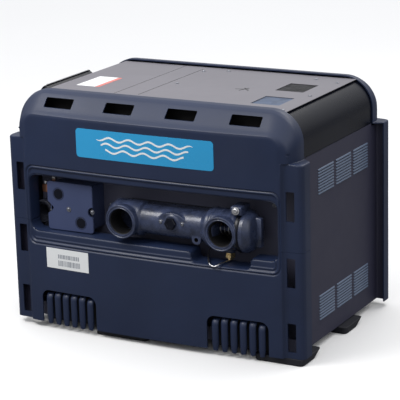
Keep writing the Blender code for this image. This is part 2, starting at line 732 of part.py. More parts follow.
def make_header_fittings():
    axis = header_axis()
    end_profile = [(0.0420, 0.2380), (0.0420, 0.2403), (FLANGE_RADIUS, 0.2403), (FLANGE_RADIUS, 0.250),
                   (0.048, 0.254), (0.038, 0.266), (0.020, 0.268)]
    end_cap = turned("header_end_cap", end_profile, axis, "X", "header_plastic")
    grip = prism("cap_grip_bar", rounded_rectangle(deep(HEADER_D) - 0.007, deep(HEADER_D) + 0.007,
                                                   HEADER_Z - 0.034, HEADER_Z + 0.034, 0.006, 2),
                 "X", 0.255, 0.280, "header_plastic")
    join(end_cap, grip)

    poppet_profile = [(0.020, 0.1635), (0.036, 0.1640), (0.036, 0.1690), (0.012, 0.1710),
                      (0.0060, 0.1720), (0.0060, 0.2050)]
    poppet = turned("bypass_poppet", poppet_profile, axis, "X", "header_plastic")
    move_origin(poppet, (0.1635, *axis))
    turns, points_a_turn, start, end = 5, 10, 0.1745, 0.2355
    count = turns * points_a_turn
    coil = []
    for i in range(count + 1):
        angle = math.tau * i / points_a_turn
        x = start + (end - start) * i / count
        coil.append((x, axis[0] + 0.015 * math.cos(angle), axis[1] + 0.015 * math.sin(angle)))
    bent_tube("bypass_spring", coil, 0.0013, "steel", sides=1)

    gasket = rounded_rectangle(-0.095, 0.225, 0.270, 0.330, 0.004, 2)
    window = rounded_rectangle(-0.085, 0.215, 0.277, 0.323, 0.004, 2)
    near, far = deep(0.0743), deep(BACK_PLATE_D - GAP)
    loft("header_gasket", [place(gasket, "Y", near), place(gasket, "Y", far),
                           place(window, "Y", far), place(window, "Y", near)], "rubber", closed=True)
    turned("header_plug", [(0.015, deep(-0.018)), (0.015, deep(-0.0103))], (0.062, 0.307), "Y", "brass", 6)
    turned("brass_fitting", [(0.0105, 0.2442), (0.0105, 0.2395), (0.0075, 0.2385), (0.0075, 0.2365),
                             (0.0095, 0.2355), (0.0095, 0.2310), (0.0060, 0.2300), (0.0060, 0.2275)],
           (0.196, deep(HEADER_D)), "Z", "brass", 8)
    knots = [(0.196, deep(0.027), 0.2269), (0.196, deep(0.0268), 0.2258),
             (0.1955, deep(0.0235), 0.2251), (0.193, deep(0.014), 0.2250),
             (0.1895, deep(0.000), 0.2250), (0.1865, deep(-0.0100), 0.2248), (0.1830, deep(-0.0162), 0.2222),
             (0.1770, deep(-0.0178), 0.2200), (0.1690, deep(-0.0170), 0.2212), (0.1610, deep(-0.0125), 0.2246),
             (0.1540, deep(-0.002), 0.2256), (0.1440, deep(0.015), 0.2275), (0.1330, deep(0.038), 0.2320),
             (0.127, deep(0.058), 0.2370), (0.125, deep(0.072), 0.2400), (0.125, deep(0.0897), 0.2400)]
    bent_tube("pressure_tube", smooth_route(knots, 2), 0.0020, "copper")
    turned("pressure_switch", [(0.010, deep(0.090)), (0.010, deep(0.095)), (0.022, deep(0.096)),
                               (0.022, deep(0.112)), (0.014, deep(0.113)), (0.014, deep(0.118))],
           (0.125, 0.240), "Y", "header_plastic", SMALL_ROUND)


def make_recess_fittings():
    near, far = deep(BACK_PLATE_D), deep(BACK_PLATE_D + 0.002)
    plate = prism("recess_back_plate", rounded_rectangle(-0.345, 0.345, 0.0195, 0.500, 0.010, 3), "Y",
                  near, far, "side_sheet_paint")
    windows = [rounded_rectangle(-0.087, 0.217, 0.275, 0.325, 0.004, 2),
               circle(0.125, 0.240, 0.0045, 8), circle(-0.325, 0.280, 0.0245, ROUND)]
    cut(plate, many_prisms("plate_windows", windows, "Y", near - 0.01, far + 0.01))

    outer = rounded_rectangle(-0.286, -0.171, 0.253, 0.361, 0.005, 2)
    inner = rounded_rectangle(-0.284, -0.173, 0.255, 0.359, 0.004, 2)
    front, back = deep(0.0200), deep(BACK_PLATE_D - GAP)
    loops = [place(outer, "Y", back), place(outer, "Y", front), place(inner, "Y", front),
             place(inner, "Y", back - 0.002)]
    box_shell = loft("junction_box", loops, "header_plastic")
    cut(box_shell, many_prisms("conduit_hole", [circle(-0.2285, deep(0.050), 0.0110, SMALL_ROUND)], "Z",
                               0.245, 0.2570))
    cover_outline = rounded_rectangle(-0.292, -0.165, 0.2475, 0.3665, 0.007, 3)
    cover = prism("junction_box_cover", cover_outline, "Y", deep(0.0150), deep(0.0197), "header_plastic")
    notch = circle(-0.1650, 0.300, 0.0120, SMALL_ROUND)
    triangle = [(-0.30, 0.322), (-0.30, 0.282), (-0.275, 0.302)]
    cut(cover, many_prisms("cover_notches", [notch, triangle], "Y", deep(0.010), deep(0.025)))
    pockets = [circle(-0.2600, 0.337, 0.0155, SMALL_ROUND), circle(-0.1995, 0.271, 0.0155, SMALL_ROUND)]
    cut(cover, many_prisms("cover_knockouts", pockets, "Y", deep(0.010), deep(0.0165)))

    grommet = [(0.0275, deep(0.0420)), (0.0275, deep(BACK_PLATE_D - GAP)), (0.0235, deep(BACK_PLATE_D - GAP)),
               (0.0235, deep(0.0815)), (0.0145, deep(0.0815)), (0.0145, deep(0.0420))]
    turned("gas_grommet", grommet, (-0.325, 0.280), "Y", "rubber", closed=True)
    lug = box("bonding_lug", (-0.322, deep(0.0400), 0.330), (-0.302, deep(0.0777), 0.350), "copper")
    cut(lug, turned("lug_wire_hole", [(0.0035, -0.33), (0.0035, -0.29)], (deep(0.066), 0.3375), "X",
                    "steel", SMALL_ROUND))


# ---------------------------------------------------------------- gas train and burners

def make_gas_train():
    knots = [(-0.325, deep(0.0790), 0.280), (-0.325, deep(0.100), 0.280), (-0.325, deep(0.1297), 0.280)]
    bent_tube("gas_inlet_pipe", knots, 0.0135, "cast_iron", sides=3)
    bevelled(box("gas_valve", (-0.355, deep(0.130), 0.2450), (-0.285, deep(0.220), 0.3150), "galvanised"),
             0.003)
    knob = turned("gas_valve_knob", [(0.016, 0.3153), (0.016, 0.326), (0.014, 0.328)],
                  (-0.320, deep(0.175)), "Z", "rubber", SMALL_ROUND)
    pointer = box("knob_pointer", (-0.322, deep(0.161), 0.325), (-0.318, deep(0.175), 0.331), "rubber")
    join(knob, pointer)
    knob_axis = (-0.320, deep(0.175), 0.3153)
    move_origin(knob, knob_axis)
    supply = [(-0.2847, deep(0.200), 0.262), (-0.260, deep(0.200), 0.262), (-0.240, deep(0.199), 0.255),
              (-0.232, deep(0.190), 0.240), (-0.230, deep(0.170), 0.200), (-0.228, deep(0.135), 0.140),
              (-0.226, deep(0.112), 0.104), (-0.214, deep(0.103), 0.094), (-0.1703, deep(0.1025), 0.092)]
    bent_tube("gas_supply_tube", smooth_route(supply, 3), 0.0065, "steel")
    manifold = turned("burner_manifold", [(0.011, -0.170), (0.011, 0.270)], (deep(0.1025), BURNER_Z), "X",
                      "steel", SMALL_ROUND)
    nozzles = []
    for x in burner_places():
        nozzles.append(circle(x, BURNER_Z, 0.0050, 8))
    join(manifold, many_prisms("burner_nozzles", nozzles, "Y", deep(0.105), deep(0.1197)))


def burner_places():
    """X of each burner's axis."""
    return [-0.110 + 0.105 * index for index in range(BURNER_COUNT)]


def make_burners():
    for index, x in enumerate(burner_places()):
        throat = [(0.013, deep(0.1200)), (0.009, deep(0.1350)), (0.012, deep(0.1500)), (0.016, deep(0.1650)),
                  (0.016, deep(0.3850)), (0.010, deep(0.3880))]
        burner = turned(f"burner_{index + 1}", throat, (x, BURNER_Z), "Y", "steel", SMALL_ROUND)
        crest = box(f"burner_crest_{index + 1}", (x - 0.006, deep(0.1700), 0.100),
                    (x + 0.006, deep(0.3800), 0.1140), "steel")
        join(burner, crest)
    rod = [(-0.060, deep(0.1390), 0.130), (-0.060, deep(0.200), 0.126), (-0.066, deep(0.230), 0.124)]
    bent_tube("igniter", smooth_route(rod, 4), 0.0030, "steel", sides=1)


def make_heat_exchanger():
    chamber_outer = rounded_rectangle(-0.176, 0.276, deep(0.1240), deep(0.4000), 0.004, 2)
    chamber_inner = rounded_rectangle(-0.158, 0.258, deep(0.1420), deep(0.3900), 0.004, 2)
    low, high = 0.0195, 0.2497
    loops = [place(chamber_outer, "Z", low), place(chamber_outer, "Z", high),
             place(chamber_inner, "Z", high), place(chamber_inner, "Z", low)]
    chamber = loft("combustion_chamber", loops, "galvanised", closed=True)
    throats = [circle(x, BURNER_Z, 0.0150, SMALL_ROUND) for x in burner_places()]
    throats.append(circle(-0.060, 0.130, 0.0045, 8))
    cut(chamber, many_prisms("burner_throats", throats, "Y", deep(0.1140), deep(0.1450)))
    cut(chamber, box("air_inlet", (-0.180, deep(0.2340), 0.0600), (-0.150, deep(0.2860), 0.1010), "steel"))

    bundle = box("heat_exchanger", (-0.176, deep(0.1240), 0.2500), (0.276, deep(0.1320), 0.3490), "copper")
    join(bundle, box("far_tube_sheet", (-0.176, deep(0.4060), 0.2500), (0.276, deep(0.4140), 0.3490), "copper"))
    join(bundle, box("inlet_neck", (-0.084, deep(0.0785), 0.2780), (0.214, deep(0.1280), 0.3220), "copper"))
    tubes = [circle(-0.150 + 0.0571 * index, 0.3000, 0.0140, 8) for index in range(8)]
    join(bundle, many_prisms("water_tubes", tubes, "Y", deep(0.1280), deep(0.4100)))

    outer = rounded_rectangle(-0.176, 0.276, 0.2500, 0.3490, 0.006, 2)
    crest = rounded_rectangle(-0.166, 0.266, 0.2600, 0.3390, 0.006, 2)
    inner = rounded_rectangle(-0.164, 0.264, 0.2620, 0.3370, 0.006, 2)
    loops = [place(outer, "Y", deep(0.4143)), place(outer, "Y", deep(0.4230)), place(crest, "Y", deep(0.4450))]
    far_header = loft("far_header", loops, "header_plastic")
    cut(far_header, prism("far_header_water_space", inner, "Y", deep(0.4100), deep(0.4400), "steel"))


def make_flue():
    """A hood over the heat exchanger that narrows to the exhaust grille."""
    def ring(x0, x1, y0, y1, z, inset):
        low_x, high_x, low_y, high_y = x0 + inset, x1 - inset, y0 + inset, y1 - inset
        outline = [(low_x, low_y), (high_x, low_y), (high_x, high_y), (low_x, high_y)]
        return place(outline, "Z", z)

    base = (-0.170, 0.276, deep(0.1360), deep(0.4020))
    throat = (0.1950, 0.2790, deep(0.2550), deep(0.3520))
    loops = [ring(*base, 0.3495, 0), ring(*base, 0.3900, 0), ring(*throat, 0.5000, 0), ring(*throat, 0.5733, 0),
             ring(*throat, 0.5733, 0.002), ring(*throat, 0.5000, 0.002), ring(*base, 0.3885, 0.002),
             ring(*base, 0.3495, 0.002)]
    loft("flue_collector", loops, "galvanised", closed=True)


def make_blower():
    centre = (-0.272, 0.130)
    near, far = deep(0.2300), deep(0.2900)
    housing = turned("blower_housing", [(0.075, near), (0.075, far)], centre, "Y", "galvanised")
    duct = box("blower_outlet", (-0.272, near, 0.0560), (-0.1765, far, 0.1050), "galvanised")
    join(housing, duct)
    cut(housing, turned("blower_scroll_space", [(0.072, near + 0.002), (0.072, far - 0.002)], centre, "Y",
                        "steel"))
    cut(housing, box("blower_outlet_space", (-0.272, near + 0.002, 0.0580), (-0.170, far - 0.002, 0.1030),
                     "steel"))
    cut(housing, turned("blower_eye", [(0.034, far - 0.01), (0.034, far + 0.01)], centre, "Y", "steel"))
    cut(housing, turned("blower_shaft_hole", [(0.008, near - 0.01), (0.008, near + 0.01)], centre, "Y",
                        "steel", SMALL_ROUND))
    hub = [(0.0035, near - 0.0120), (0.0035, near + 0.0045), (0.055, near + 0.0055), (0.055, near + 0.0080),
           (0.014, near + 0.0090), (0.014, near + 0.0300)]
    impeller = turned("blower_impeller", hub, centre, "Y", "steel")
    blades = []
    for index in range(IMPELLER_BLADES):
        angle = math.tau * index / IMPELLER_BLADES
        outline = []
        for radius, turn in ((0.040, -0.10), (0.055, 0.02), (0.0545, 0.07), (0.0395, -0.05)):
            outline.append((centre[0] + radius * math.cos(angle + turn),
                            centre[1] + radius * math.sin(angle + turn)))
        blades.append(outline)
    join(impeller, many_prisms("impeller_blades", blades, "Y", near + 0.0070, near + 0.0480))
    move_origin(impeller, (centre[0], near, centre[1]))
    motor_profile = [(0.020, deep(0.1500)), (0.038, deep(0.1560)), (0.040, deep(0.1600)),
                     (0.040, deep(0.2100)), (0.030, deep(0.2150)), (0.030, near - GAP)]
    motor = turned("blower_motor", motor_profile, centre, "Y", "cast_iron")
    cut(motor, turned("motor_shaft_bore", [(0.0050, near - 0.0150), (0.0050, near + 0.01)], centre, "Y",
                      "steel", SMALL_ROUND))


def main():
    clear_scene()
    make_materials()
    make_end_panels()
    make_base()
    make_feet()
    make_sides()
    make_shoulders()
    make_top()
    make_control_panel()
    make_control_electronics()
    make_header()
    make_header_fittings()
    make_recess_fittings()
    make_gas_train()
    make_burners()
    make_heat_exchanger()
    make_flue()
    make_blower()


main()
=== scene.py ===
"""Looks of a gas pool heater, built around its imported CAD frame. Metres, +Z up, header end facing -Y."""

import math

import bmesh
import bpy
import numpy as np
from mathutils import Matrix, Vector


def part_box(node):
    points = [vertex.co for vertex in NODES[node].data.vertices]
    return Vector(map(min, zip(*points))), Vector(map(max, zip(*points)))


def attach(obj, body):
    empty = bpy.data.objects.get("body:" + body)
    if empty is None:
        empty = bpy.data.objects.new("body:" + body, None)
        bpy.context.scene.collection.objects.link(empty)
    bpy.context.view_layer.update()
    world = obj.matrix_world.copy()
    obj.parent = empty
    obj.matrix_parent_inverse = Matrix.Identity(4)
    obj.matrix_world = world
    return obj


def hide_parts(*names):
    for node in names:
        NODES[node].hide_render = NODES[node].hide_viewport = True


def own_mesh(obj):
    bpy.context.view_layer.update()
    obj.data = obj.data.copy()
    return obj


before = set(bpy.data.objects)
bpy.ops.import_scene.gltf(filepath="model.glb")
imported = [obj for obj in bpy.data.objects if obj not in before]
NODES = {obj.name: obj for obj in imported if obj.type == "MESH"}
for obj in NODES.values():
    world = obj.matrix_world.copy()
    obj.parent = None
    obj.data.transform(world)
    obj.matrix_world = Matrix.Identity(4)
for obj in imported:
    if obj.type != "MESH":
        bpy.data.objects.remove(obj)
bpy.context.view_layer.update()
MAIN = "cabinet"

# ---------------------------------------------------------------- sizes, from the CAD's own boxes

HALF_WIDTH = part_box("near_upper_panel")[1][0]
PANEL_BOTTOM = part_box("near_lower_panel")[0][2]
SEAM_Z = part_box("near_lower_panel")[1][2] + 0.0003
TOP_LOW, TOP_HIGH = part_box("top_cover")
TOP_Z = TOP_HIGH[2]
TOP_NEAR, TOP_FAR = TOP_LOW[1], TOP_HIGH[1]
SIDE_LOW, SIDE_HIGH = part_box("right_side_panel")
FLANGE_X = SIDE_HIGH[0]
NEAR_Y, FAR_Y = TOP_NEAR - 0.0620, TOP_FAR + 0.0620
CROWN = 0.015
SHEET = 0.0015
SIDE_X = FLANGE_X - 0.021
SHOULDER_RADIUS = 0.070
LEDGE_Z = 0.472

# Rings of an end panel from the face back to the side: half width, top, radius, depth, crown share.
HOOD_RINGS = np.array([
    (0.337, 0.533, 0.030, 0.000, 1.00), (0.3565, 0.540, 0.049, 0.007, 0.75),
    (0.366, 0.570, 0.064, 0.028, 0.15), (0.3675, 0.578, 0.070, 0.034, 0.00),
    (0.369, 0.584, 0.075, 0.045, 0.00), (0.369, 0.584, 0.075, 0.0615, 0.00)])
EAR_RINGS = np.array([
    (0.340, 0.000, 1.0), (0.346, 0.006, 0.0), (0.380, 0.006, 0.0),
    (0.388, 0.010, 0.0), (0.391, 0.018, 0.0), (0.391, 0.045, 0.0)])
RING_STEPS = np.concatenate([np.linspace(0, 1, 7), np.linspace(1, 2, 9)[1:], np.linspace(2, 3, 7)[1:],
                             np.linspace(3, 4, 7)[1:], np.linspace(4, 5, 6)[1:]])
RING_BLUR = 0.24

RECESS = (-0.331, 0.331, 0.245, 0.384)
RECESS_RADIUS = 0.020
SCOOP = (0.112, 0.262, 0.2205)
FRAME_EDGE = (-0.3385, 0.3385, 0.2115, 0.408)
FRAME_RADIUS = 0.022
LIP_DEPTH = 0.036
LIP_ROUND = 0.005
EAR_SLOTS = (0.031, 0.185, 0.340)
EAR_SLOT_X = (0.349, 0.370)
EAR_SLOT_HEIGHT = 0.069
BAND_SLOTS = (-0.2475, -0.0825, 0.0825, 0.2475)
GRILLE_X = (0.150, 0.3065)
GRILLE_TOP = 0.0985
RIB_COUNT = 6
RIB_PITCH = 0.0237
RIB_FIRST = 0.1694

HEADER_Z = 0.300
HEADER_Y = NEAR_Y + 0.027
PORT_XS = (-0.065, 0.196)
PORT_FACE_Y = NEAR_Y - 0.025


def deep(distance):
    """Y of a point this far behind the near ears' plane."""
    return NEAR_Y + distance


def crown(x):
    """How far an end's face bulges out at this x."""
    return CROWN * (1 - (x / HALF_WIDTH) ** 2)


# ---------------------------------------------------------------- materials

SHEEN = 0.45  # specular level of plastics and paints, lower than the default of 0.5

class Shader:
    """A small helper for one procedural material."""

    def __init__(self, name, colour, roughness, metallic=0.0, sheen=SHEEN):
        self.material = bpy.data.materials.new(name)
        self.material.use_nodes = True
        self.tree = self.material.node_tree
        self.surface = self.tree.nodes["Principled BSDF"]
        self.colour = (*colour, 1.0)
        self.surface.inputs["Base Color"].default_value = self.colour
        self.surface.inputs["Roughness"].default_value = roughness
        self.surface.inputs["Metallic"].default_value = metallic
        self.surface.inputs["Specular IOR Level"].default_value = sheen
        self.place = self.tree.nodes.new("ShaderNodeTexCoord").outputs["Object"]

    def noise(self, scale, detail=3.0, roughness=0.55, stretch=None):
        node = self.tree.nodes.new("ShaderNodeTexNoise")
        node.inputs["Scale"].default_value = scale
        node.inputs["Detail"].default_value = detail
        node.inputs["Roughness"].default_value = roughness
        source = self.place
        if stretch:
            mapping = self.tree.nodes.new("ShaderNodeMapping")
            mapping.inputs["Scale"].default_value = stretch
            self.tree.links.new(source, mapping.inputs["Vector"])
            source = mapping.outputs["Vector"]
        self.tree.links.new(source, node.inputs["Vector"])
        return node.outputs["Fac"]

    def cells(self, scale):
        node = self.tree.nodes.new("ShaderNodeTexVoronoi")
        node.inputs["Scale"].default_value = scale
        self.tree.links.new(self.place, node.inputs["Vector"])
        return node

    def ramp(self, source, low, high, start=0.3, end=0.7):
        node = self.tree.nodes.new("ShaderNodeValToRGB")
        first, last = node.color_ramp.elements
        first.position, last.position = start, end
        first.color = (*low, 1.0) if len(low) == 3 else low
        last.color = (*high, 1.0) if len(high) == 3 else high
        self.tree.links.new(source, node.inputs["Fac"])
        return node.outputs["Color"]

    def colours(self, source, low, high, start=0.3, end=0.7):
        self.tree.links.new(self.ramp(source, low, high, start, end), self.surface.inputs["Base Color"])
        return self

    def glosses(self, source, low, high, start=0.3, end=0.7):
        grey = self.ramp(source, (low,) * 3, (high,) * 3, start, end)
        self.tree.links.new(grey, self.surface.inputs["Roughness"])
        return self

    def bump(self, source, strength, distance):
        node = self.tree.nodes.new("ShaderNodeBump")
        node.inputs["Strength"].default_value = strength
        node.inputs["Distance"].default_value = distance
        self.tree.links.new(source, node.inputs["Height"])
        normal = self.surface.inputs["Normal"]
        if normal.is_linked:
            self.tree.links.new(normal.links[0].from_socket, node.inputs["Normal"])
        self.tree.links.new(node.outputs["Normal"], normal)
        return self

    def coat(self, weight, roughness):
        self.surface.inputs["Coat Weight"].default_value = weight
        self.surface.inputs["Coat Roughness"].default_value = roughness
        return self


def shade(colour, factor):
    return tuple(channel * factor for channel in colour)


def moulded(name, colour, roughness, grain=1400, depth=0.00012, mottle=0.12, sheen=SHEEN):
    """Grained plastic with faint flow marks and handled patches."""
    made = Shader(name, colour, roughness, sheen=sheen)
    made.colours(made.noise(5.5, 4), shade(colour, 1 - mottle), shade(colour, 1 + mottle))
    made.glosses(made.noise(9.0, 5, 0.6), roughness - 0.05, roughness + 0.07)
    made.bump(made.noise(grain, 2), 0.35, depth)
    made.bump(made.noise(3.0, 2), 0.25, 0.0015)
    return made.material


def painted(name, colour, roughness, peel=520, depth=0.00010, mottle=0.05):
    """Powder coat: orange peel, faint smudges and dust."""
    made = Shader(name, colour, roughness)
    made.colours(made.noise(4.0, 5, 0.6), shade(colour, 1 - mottle), shade(colour, 1 + mottle))
    made.glosses(made.noise(7.0, 4), roughness - 0.06, roughness + 0.06)
    made.bump(made.noise(peel, 2), 0.30, depth)
    return made.material


def zinc(name, colour):
    made = Shader(name, colour, 0.42, 0.85)
    spangle = made.cells(70)
    made.colours(spangle.outputs["Color"], shade(colour, 0.78), shade(colour, 1.15), 0.1, 0.9)
    made.glosses(made.noise(40, 3), 0.34, 0.52)
    return made.material


def machined(name, colour, roughness, stretch=(1, 60, 60)):
    made = Shader(name, colour, roughness, 1.0)
    made.colours(made.noise(60, 3), shade(colour, 0.80), shade(colour, 1.10))
    made.glosses(made.noise(30, 3, stretch=stretch), roughness - 0.08, roughness + 0.12)
    made.bump(made.noise(900, 2), 0.2, 0.00006)
    return made.material


def rough_cast(name, colour, roughness):
    """Glass-filled nylon: uneven sheen, small pits and fibres."""
    made = Shader(name, colour, roughness)
    made.colours(made.noise(38, 6, 0.7), shade(colour, 0.55), shade(colour, 1.55), 0.35, 0.72)
    made.glosses(made.noise(70, 5, 0.65), roughness - 0.16, roughness + 0.16)
    made.bump(made.noise(260, 5, 0.7), 0.55, 0.00050)
    made.bump(made.noise(45, 3), 0.40, 0.00120)
    made.coat(0.25, 0.22)
    return made.material


PANEL_COLOUR = (0.0125, 0.0215, 0.0560)
MATERIALS = {
    "panel": moulded("panel_plastic", PANEL_COLOUR, 0.40),
    "trim": moulded("trim_plastic", (0.0040, 0.0052, 0.0110), 0.24, 1100, 0.00006, sheen=0.22),
    "foot": moulded("foot_plastic", (0.0120, 0.0130, 0.0190), 0.55),
    # The side and top sheets carry one paint: the side colour is that paint darkened as painted shade, and
    # the top colour is it lightened as painted light from above.
    "side": painted("side_paint_painted_shade", (0.0330, 0.0330, 0.0600), 0.50),
    # The louvre hoods are pressed from the side sheet; their paler colour is a painted highlight.
    "louvre": painted("louvre_painted_highlight", (0.1000, 0.1350, 0.2050), 0.34),
    "top": painted("top_paint_painted_light", (0.168, 0.162, 0.184), 0.50),
    # Paint of the recess back plate; the base pan also takes it as painted shade.
    "dark": painted("recess_paint_and_painted_shade", (0.0950, 0.0980, 0.1500), 0.50),
    "header": rough_cast("header_nylon", (0.0340, 0.0450, 0.0900), 0.32),
    "box": moulded("box_plastic", (0.0440, 0.0600, 0.1350), 0.42, 700, 0.00016),
    "rubber": moulded("black_rubber", (0.0260, 0.0290, 0.0440), 0.50, 900, 0.00010),
    "steel": machined("bright_steel", (0.560, 0.560, 0.580), 0.28),
    "screw": machined("screw_zinc", (0.330, 0.340, 0.380), 0.36),
    "zinc": zinc("zinc_sheet", (0.120, 0.160, 0.250)),
    "copper": machined("dull_copper", (0.640, 0.300, 0.180), 0.34),
    "brass": machined("turned_brass", (0.800, 0.600, 0.300), 0.26),
    "iron": rough_cast("cast_iron", (0.060, 0.060, 0.066), 0.55),
    "board": moulded("circuit_board", (0.020, 0.110, 0.050), 0.40, 300, 0.0002, 0.30),
    "lens": moulded("smoked_lens", (0.020, 0.026, 0.028), 0.10, 60, 0.00001),
    "blue": painted("label_blue", (0.0290, 0.3050, 0.5900), 0.30, 300, 0.00004, 0.03),
    "white": painted("label_white", (0.780, 0.800, 0.810), 0.40, 300, 0.00004, 0.03),
    "grey_ink": painted("label_grey", (0.280, 0.300, 0.340), 0.45, 300, 0.00004, 0.10),
    "red_ink": painted("label_red", (0.620, 0.190, 0.170), 0.45, 300, 0.00004, 0.08),
    # Near-black for the seams on the top, and painted shade behind the grilles, inside the hoods and in the
    # port bores.
    "black": moulded("joint_and_painted_shade_black", (0.0030, 0.0030, 0.0040), 0.70),
}

# ---------------------------------------------------------------- mesh helpers


def piece(name, points, faces, look, body=MAIN, smooth=40):
    """A new piece from points and faces, smooth up to an angle in degrees, riding on a body."""
    mesh = bpy.data.meshes.new(name)
    mesh.from_pydata([tuple(point) for point in points], [], [tuple(face) for face in faces])
    mesh.materials.append(MATERIALS[look])
    made = bpy.data.objects.new(name, mesh)
    bpy.context.scene.collection.objects.link(made)
    finish_mesh(made, smooth)
    if body:
        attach(made, body)
    return made


def finish_mesh(made, smooth=40):
    """Weld, face outwards, and shade smooth up to an angle."""
    builder = bmesh.new()
    builder.from_mesh(made.data)
    bmesh.ops.remove_doubles(builder, verts=builder.verts, dist=1e-6)
    bmesh.ops.recalc_face_normals(builder, faces=builder.faces)
    builder.to_mesh(made.data)
    builder.free()
    made.data.shade_smooth()
    made.data.set_sharp_from_angle(angle=math.radians(smooth))


def apply_modifiers(made, smooth=40):
    """Bake the modifiers into the mesh."""
    bpy.context.view_layer.update()
    graph = bpy.context.evaluated_depsgraph_get()
    baked = bpy.data.meshes.new_from_object(made.evaluated_get(graph))
    made.modifiers.clear()
    old = made.data
    made.data = baked
    bpy.data.meshes.remove(old)
    made.data.shade_smooth()
    made.data.set_sharp_from_angle(angle=math.radians(smooth))
    return made


def joined(made, others):
    """Add the meshes of other pieces to this one, keeping each one's material."""
    builder = bmesh.new()
    builder.from_mesh(made.data)
    for other in others:
        slot = len(made.data.materials)
        for index, material in enumerate(made.data.materials):
            if material == other.data.materials[0]:
                slot = index
        if slot == len(made.data.materials):
            made.data.materials.append(other.data.materials[0])
        first = len(builder.faces)
        builder.from_mesh(other.data)
        builder.faces.ensure_lookup_table()
        for face in builder.faces[first:]:
            face.material_index = slot
        mesh = other.data
        bpy.data.objects.remove(other)
        bpy.data.meshes.remove(mesh)
    builder.to_mesh(made.data)
    builder.free()
    return made


def lofted(loops, closed=False):
    """Points and faces of a skin over loops of equal length, capped unless closed on itself."""
    count = len(loops[0])
    points = [point for loop in loops for point in loop]
    faces = []
    rows = len(loops)
    for row in range(rows if closed else rows - 1):
        after = (row + 1) % rows
        for i in range(count):
            j = (i + 1) % count
            faces.append((row * count + i, row * count + j, after * count + j, after * count + i))
    if not closed:
        faces.append(tuple(range(count))[::-1])
        faces.append(tuple((rows - 1) * count + i for i in range(count)))
    return points, faces


def loft(name, loops, look, body=MAIN, closed=False, smooth=40):
    points, faces = lofted(loops, closed)
    return piece(name, points, faces, look, body, smooth)


def on_axis(outline, axis, offset):
    """An outline of (a, b) pairs put on the plane across an axis."""
    if axis == "X":
        return [(offset, a, b) for a, b in outline]
    if axis == "Y":
        return [(a, offset, b) for a, b in outline]
    return [(a, b, offset) for a, b in outline]


def rounded(a0, a1, b0, b1, radius, steps=6):
    outline = []
    corners = ((a1 - radius, b1 - radius, 0), (a0 + radius, b1 - radius, 90),
               (a0 + radius, b0 + radius, 180), (a1 - radius, b0 + radius, 270))
    for a, b, start in corners:
        for step in range(steps + 1):
            angle = math.radians(start + 90 * step / steps)
            outline.append((a + radius * math.cos(angle), b + radius * math.sin(angle)))
    return outline


def circle(a, b, radius, segments=48):
    turns = [math.tau * i / segments for i in range(segments)]
    return [(a + radius * math.cos(turn), b + radius * math.sin(turn)) for turn in turns]


def turned(name, profile, centre, axis, look, body=MAIN, segments=48, closed=False, smooth=35):
    """A lathe shape: the profile lists (radius, place along the axis)."""
    loops = [on_axis(circle(*centre, radius, segments), axis, along) for radius, along in profile]
    return loft(name, loops, look, body, closed, smooth)


def slab(name, outline, axis, low, high, look, body=MAIN, soft=0.0008, smooth=40):
    """A flat piece whose front and back edges are softened."""
    centre_a = sum(a for a, _ in outline) / len(outline)
    centre_b = sum(b for _, b in outline) / len(outline)
    inset = []
    for a, b in outline:
        reach = math.hypot(a - centre_a, b - centre_b)
        inset.append((a - (a - centre_a) / reach * soft, b - (b - centre_b) / reach * soft))
    loops = [on_axis(inset, axis, low), on_axis(outline, axis, low + soft),
             on_axis(outline, axis, high - soft), on_axis(inset, axis, high)]
    return loft(name, loops, look, body, smooth=smooth)


def block(name, low, high, look, body=MAIN, soft=0.001):
    """A box with rounded edges."""
    outline = rounded(low[0], high[0], low[1], high[1], max(soft, 0.0004), 2)
    return slab(name, outline, "Z", low[2], high[2], look, body, soft * 0.8)


def boolean(made, cutter):
    """Cut one closed piece out of another, and drop the cutter."""
    step = made.modifiers.new("Cut", "BOOLEAN")
    step.operation = "DIFFERENCE"
    step.solver = "MANIFOLD"
    step.object = cutter
    apply_modifiers(made)
    mesh = cutter.data
    bpy.data.objects.remove(cutter)
    bpy.data.meshes.remove(mesh)
    return made


def cutters(name, outlines, axis, low, high):
    """One mesh of separate prisms, to cut with."""
    points, faces = [], []
    for outline in outlines:
        more, skin = lofted([on_axis(outline, axis, low), on_axis(outline, axis, high)])
        faces += [tuple(index + len(points) for index in face) for face in skin]
        points += more
    return piece(name, points, faces, "black", None)


def smooth_path(knots, steps=6):
    """A smooth route through knots."""
    knots = [Vector(knot) for knot in knots]
    padded = [2 * knots[0] - knots[1], *knots, 2 * knots[-1] - knots[-2]]
    route = []
    for i in range(1, len(padded) - 2):
        a, b, c, d = padded[i - 1:i + 3]
        for step in range(steps):
            t = step / steps
            route.append(0.5 * (2 * b + (c - a) * t + (2 * a - 5 * b + 4 * c - d) * t ** 2
                                + (3 * b - a - 3 * c + d) * t ** 3))
    return [*route, knots[-1]]


def pipe(name, route, radius, look, body=MAIN, sides=16):
    """A round tube along a route, with a frame that doesn't twist."""
    loops = []
    across = None
    for i, point in enumerate(route):
        run = (route[min(i + 1, len(route) - 1)] - route[max(i - 1, 0)]).normalized()
        if across is None:
            across = run.orthogonal().normalized()
        across = (across - across.dot(run) * run).normalized()
        other = run.cross(across)
        ring = [point + radius * (math.cos(math.tau * k / sides) * across
                                  + math.sin(math.tau * k / sides) * other) for k in range(sides)]
        loops.append(ring)
    return loft(name, loops, look, body)


# ---------------------------------------------------------------- end panels

def box_distance(x, z, low_x, high_x, low_z, high_z, radius):
    """Signed distance to a rounded rectangle, negative inside."""
    qx = np.abs(x - (low_x + high_x) / 2) - (high_x - low_x) / 2 + radius
    qz = np.abs(z - (low_z + high_z) / 2) - (high_z - low_z) / 2 + radius
    outside = np.hypot(np.maximum(qx, 0), np.maximum(qz, 0))
    return outside + np.minimum(np.maximum(qx, qz), 0) - radius


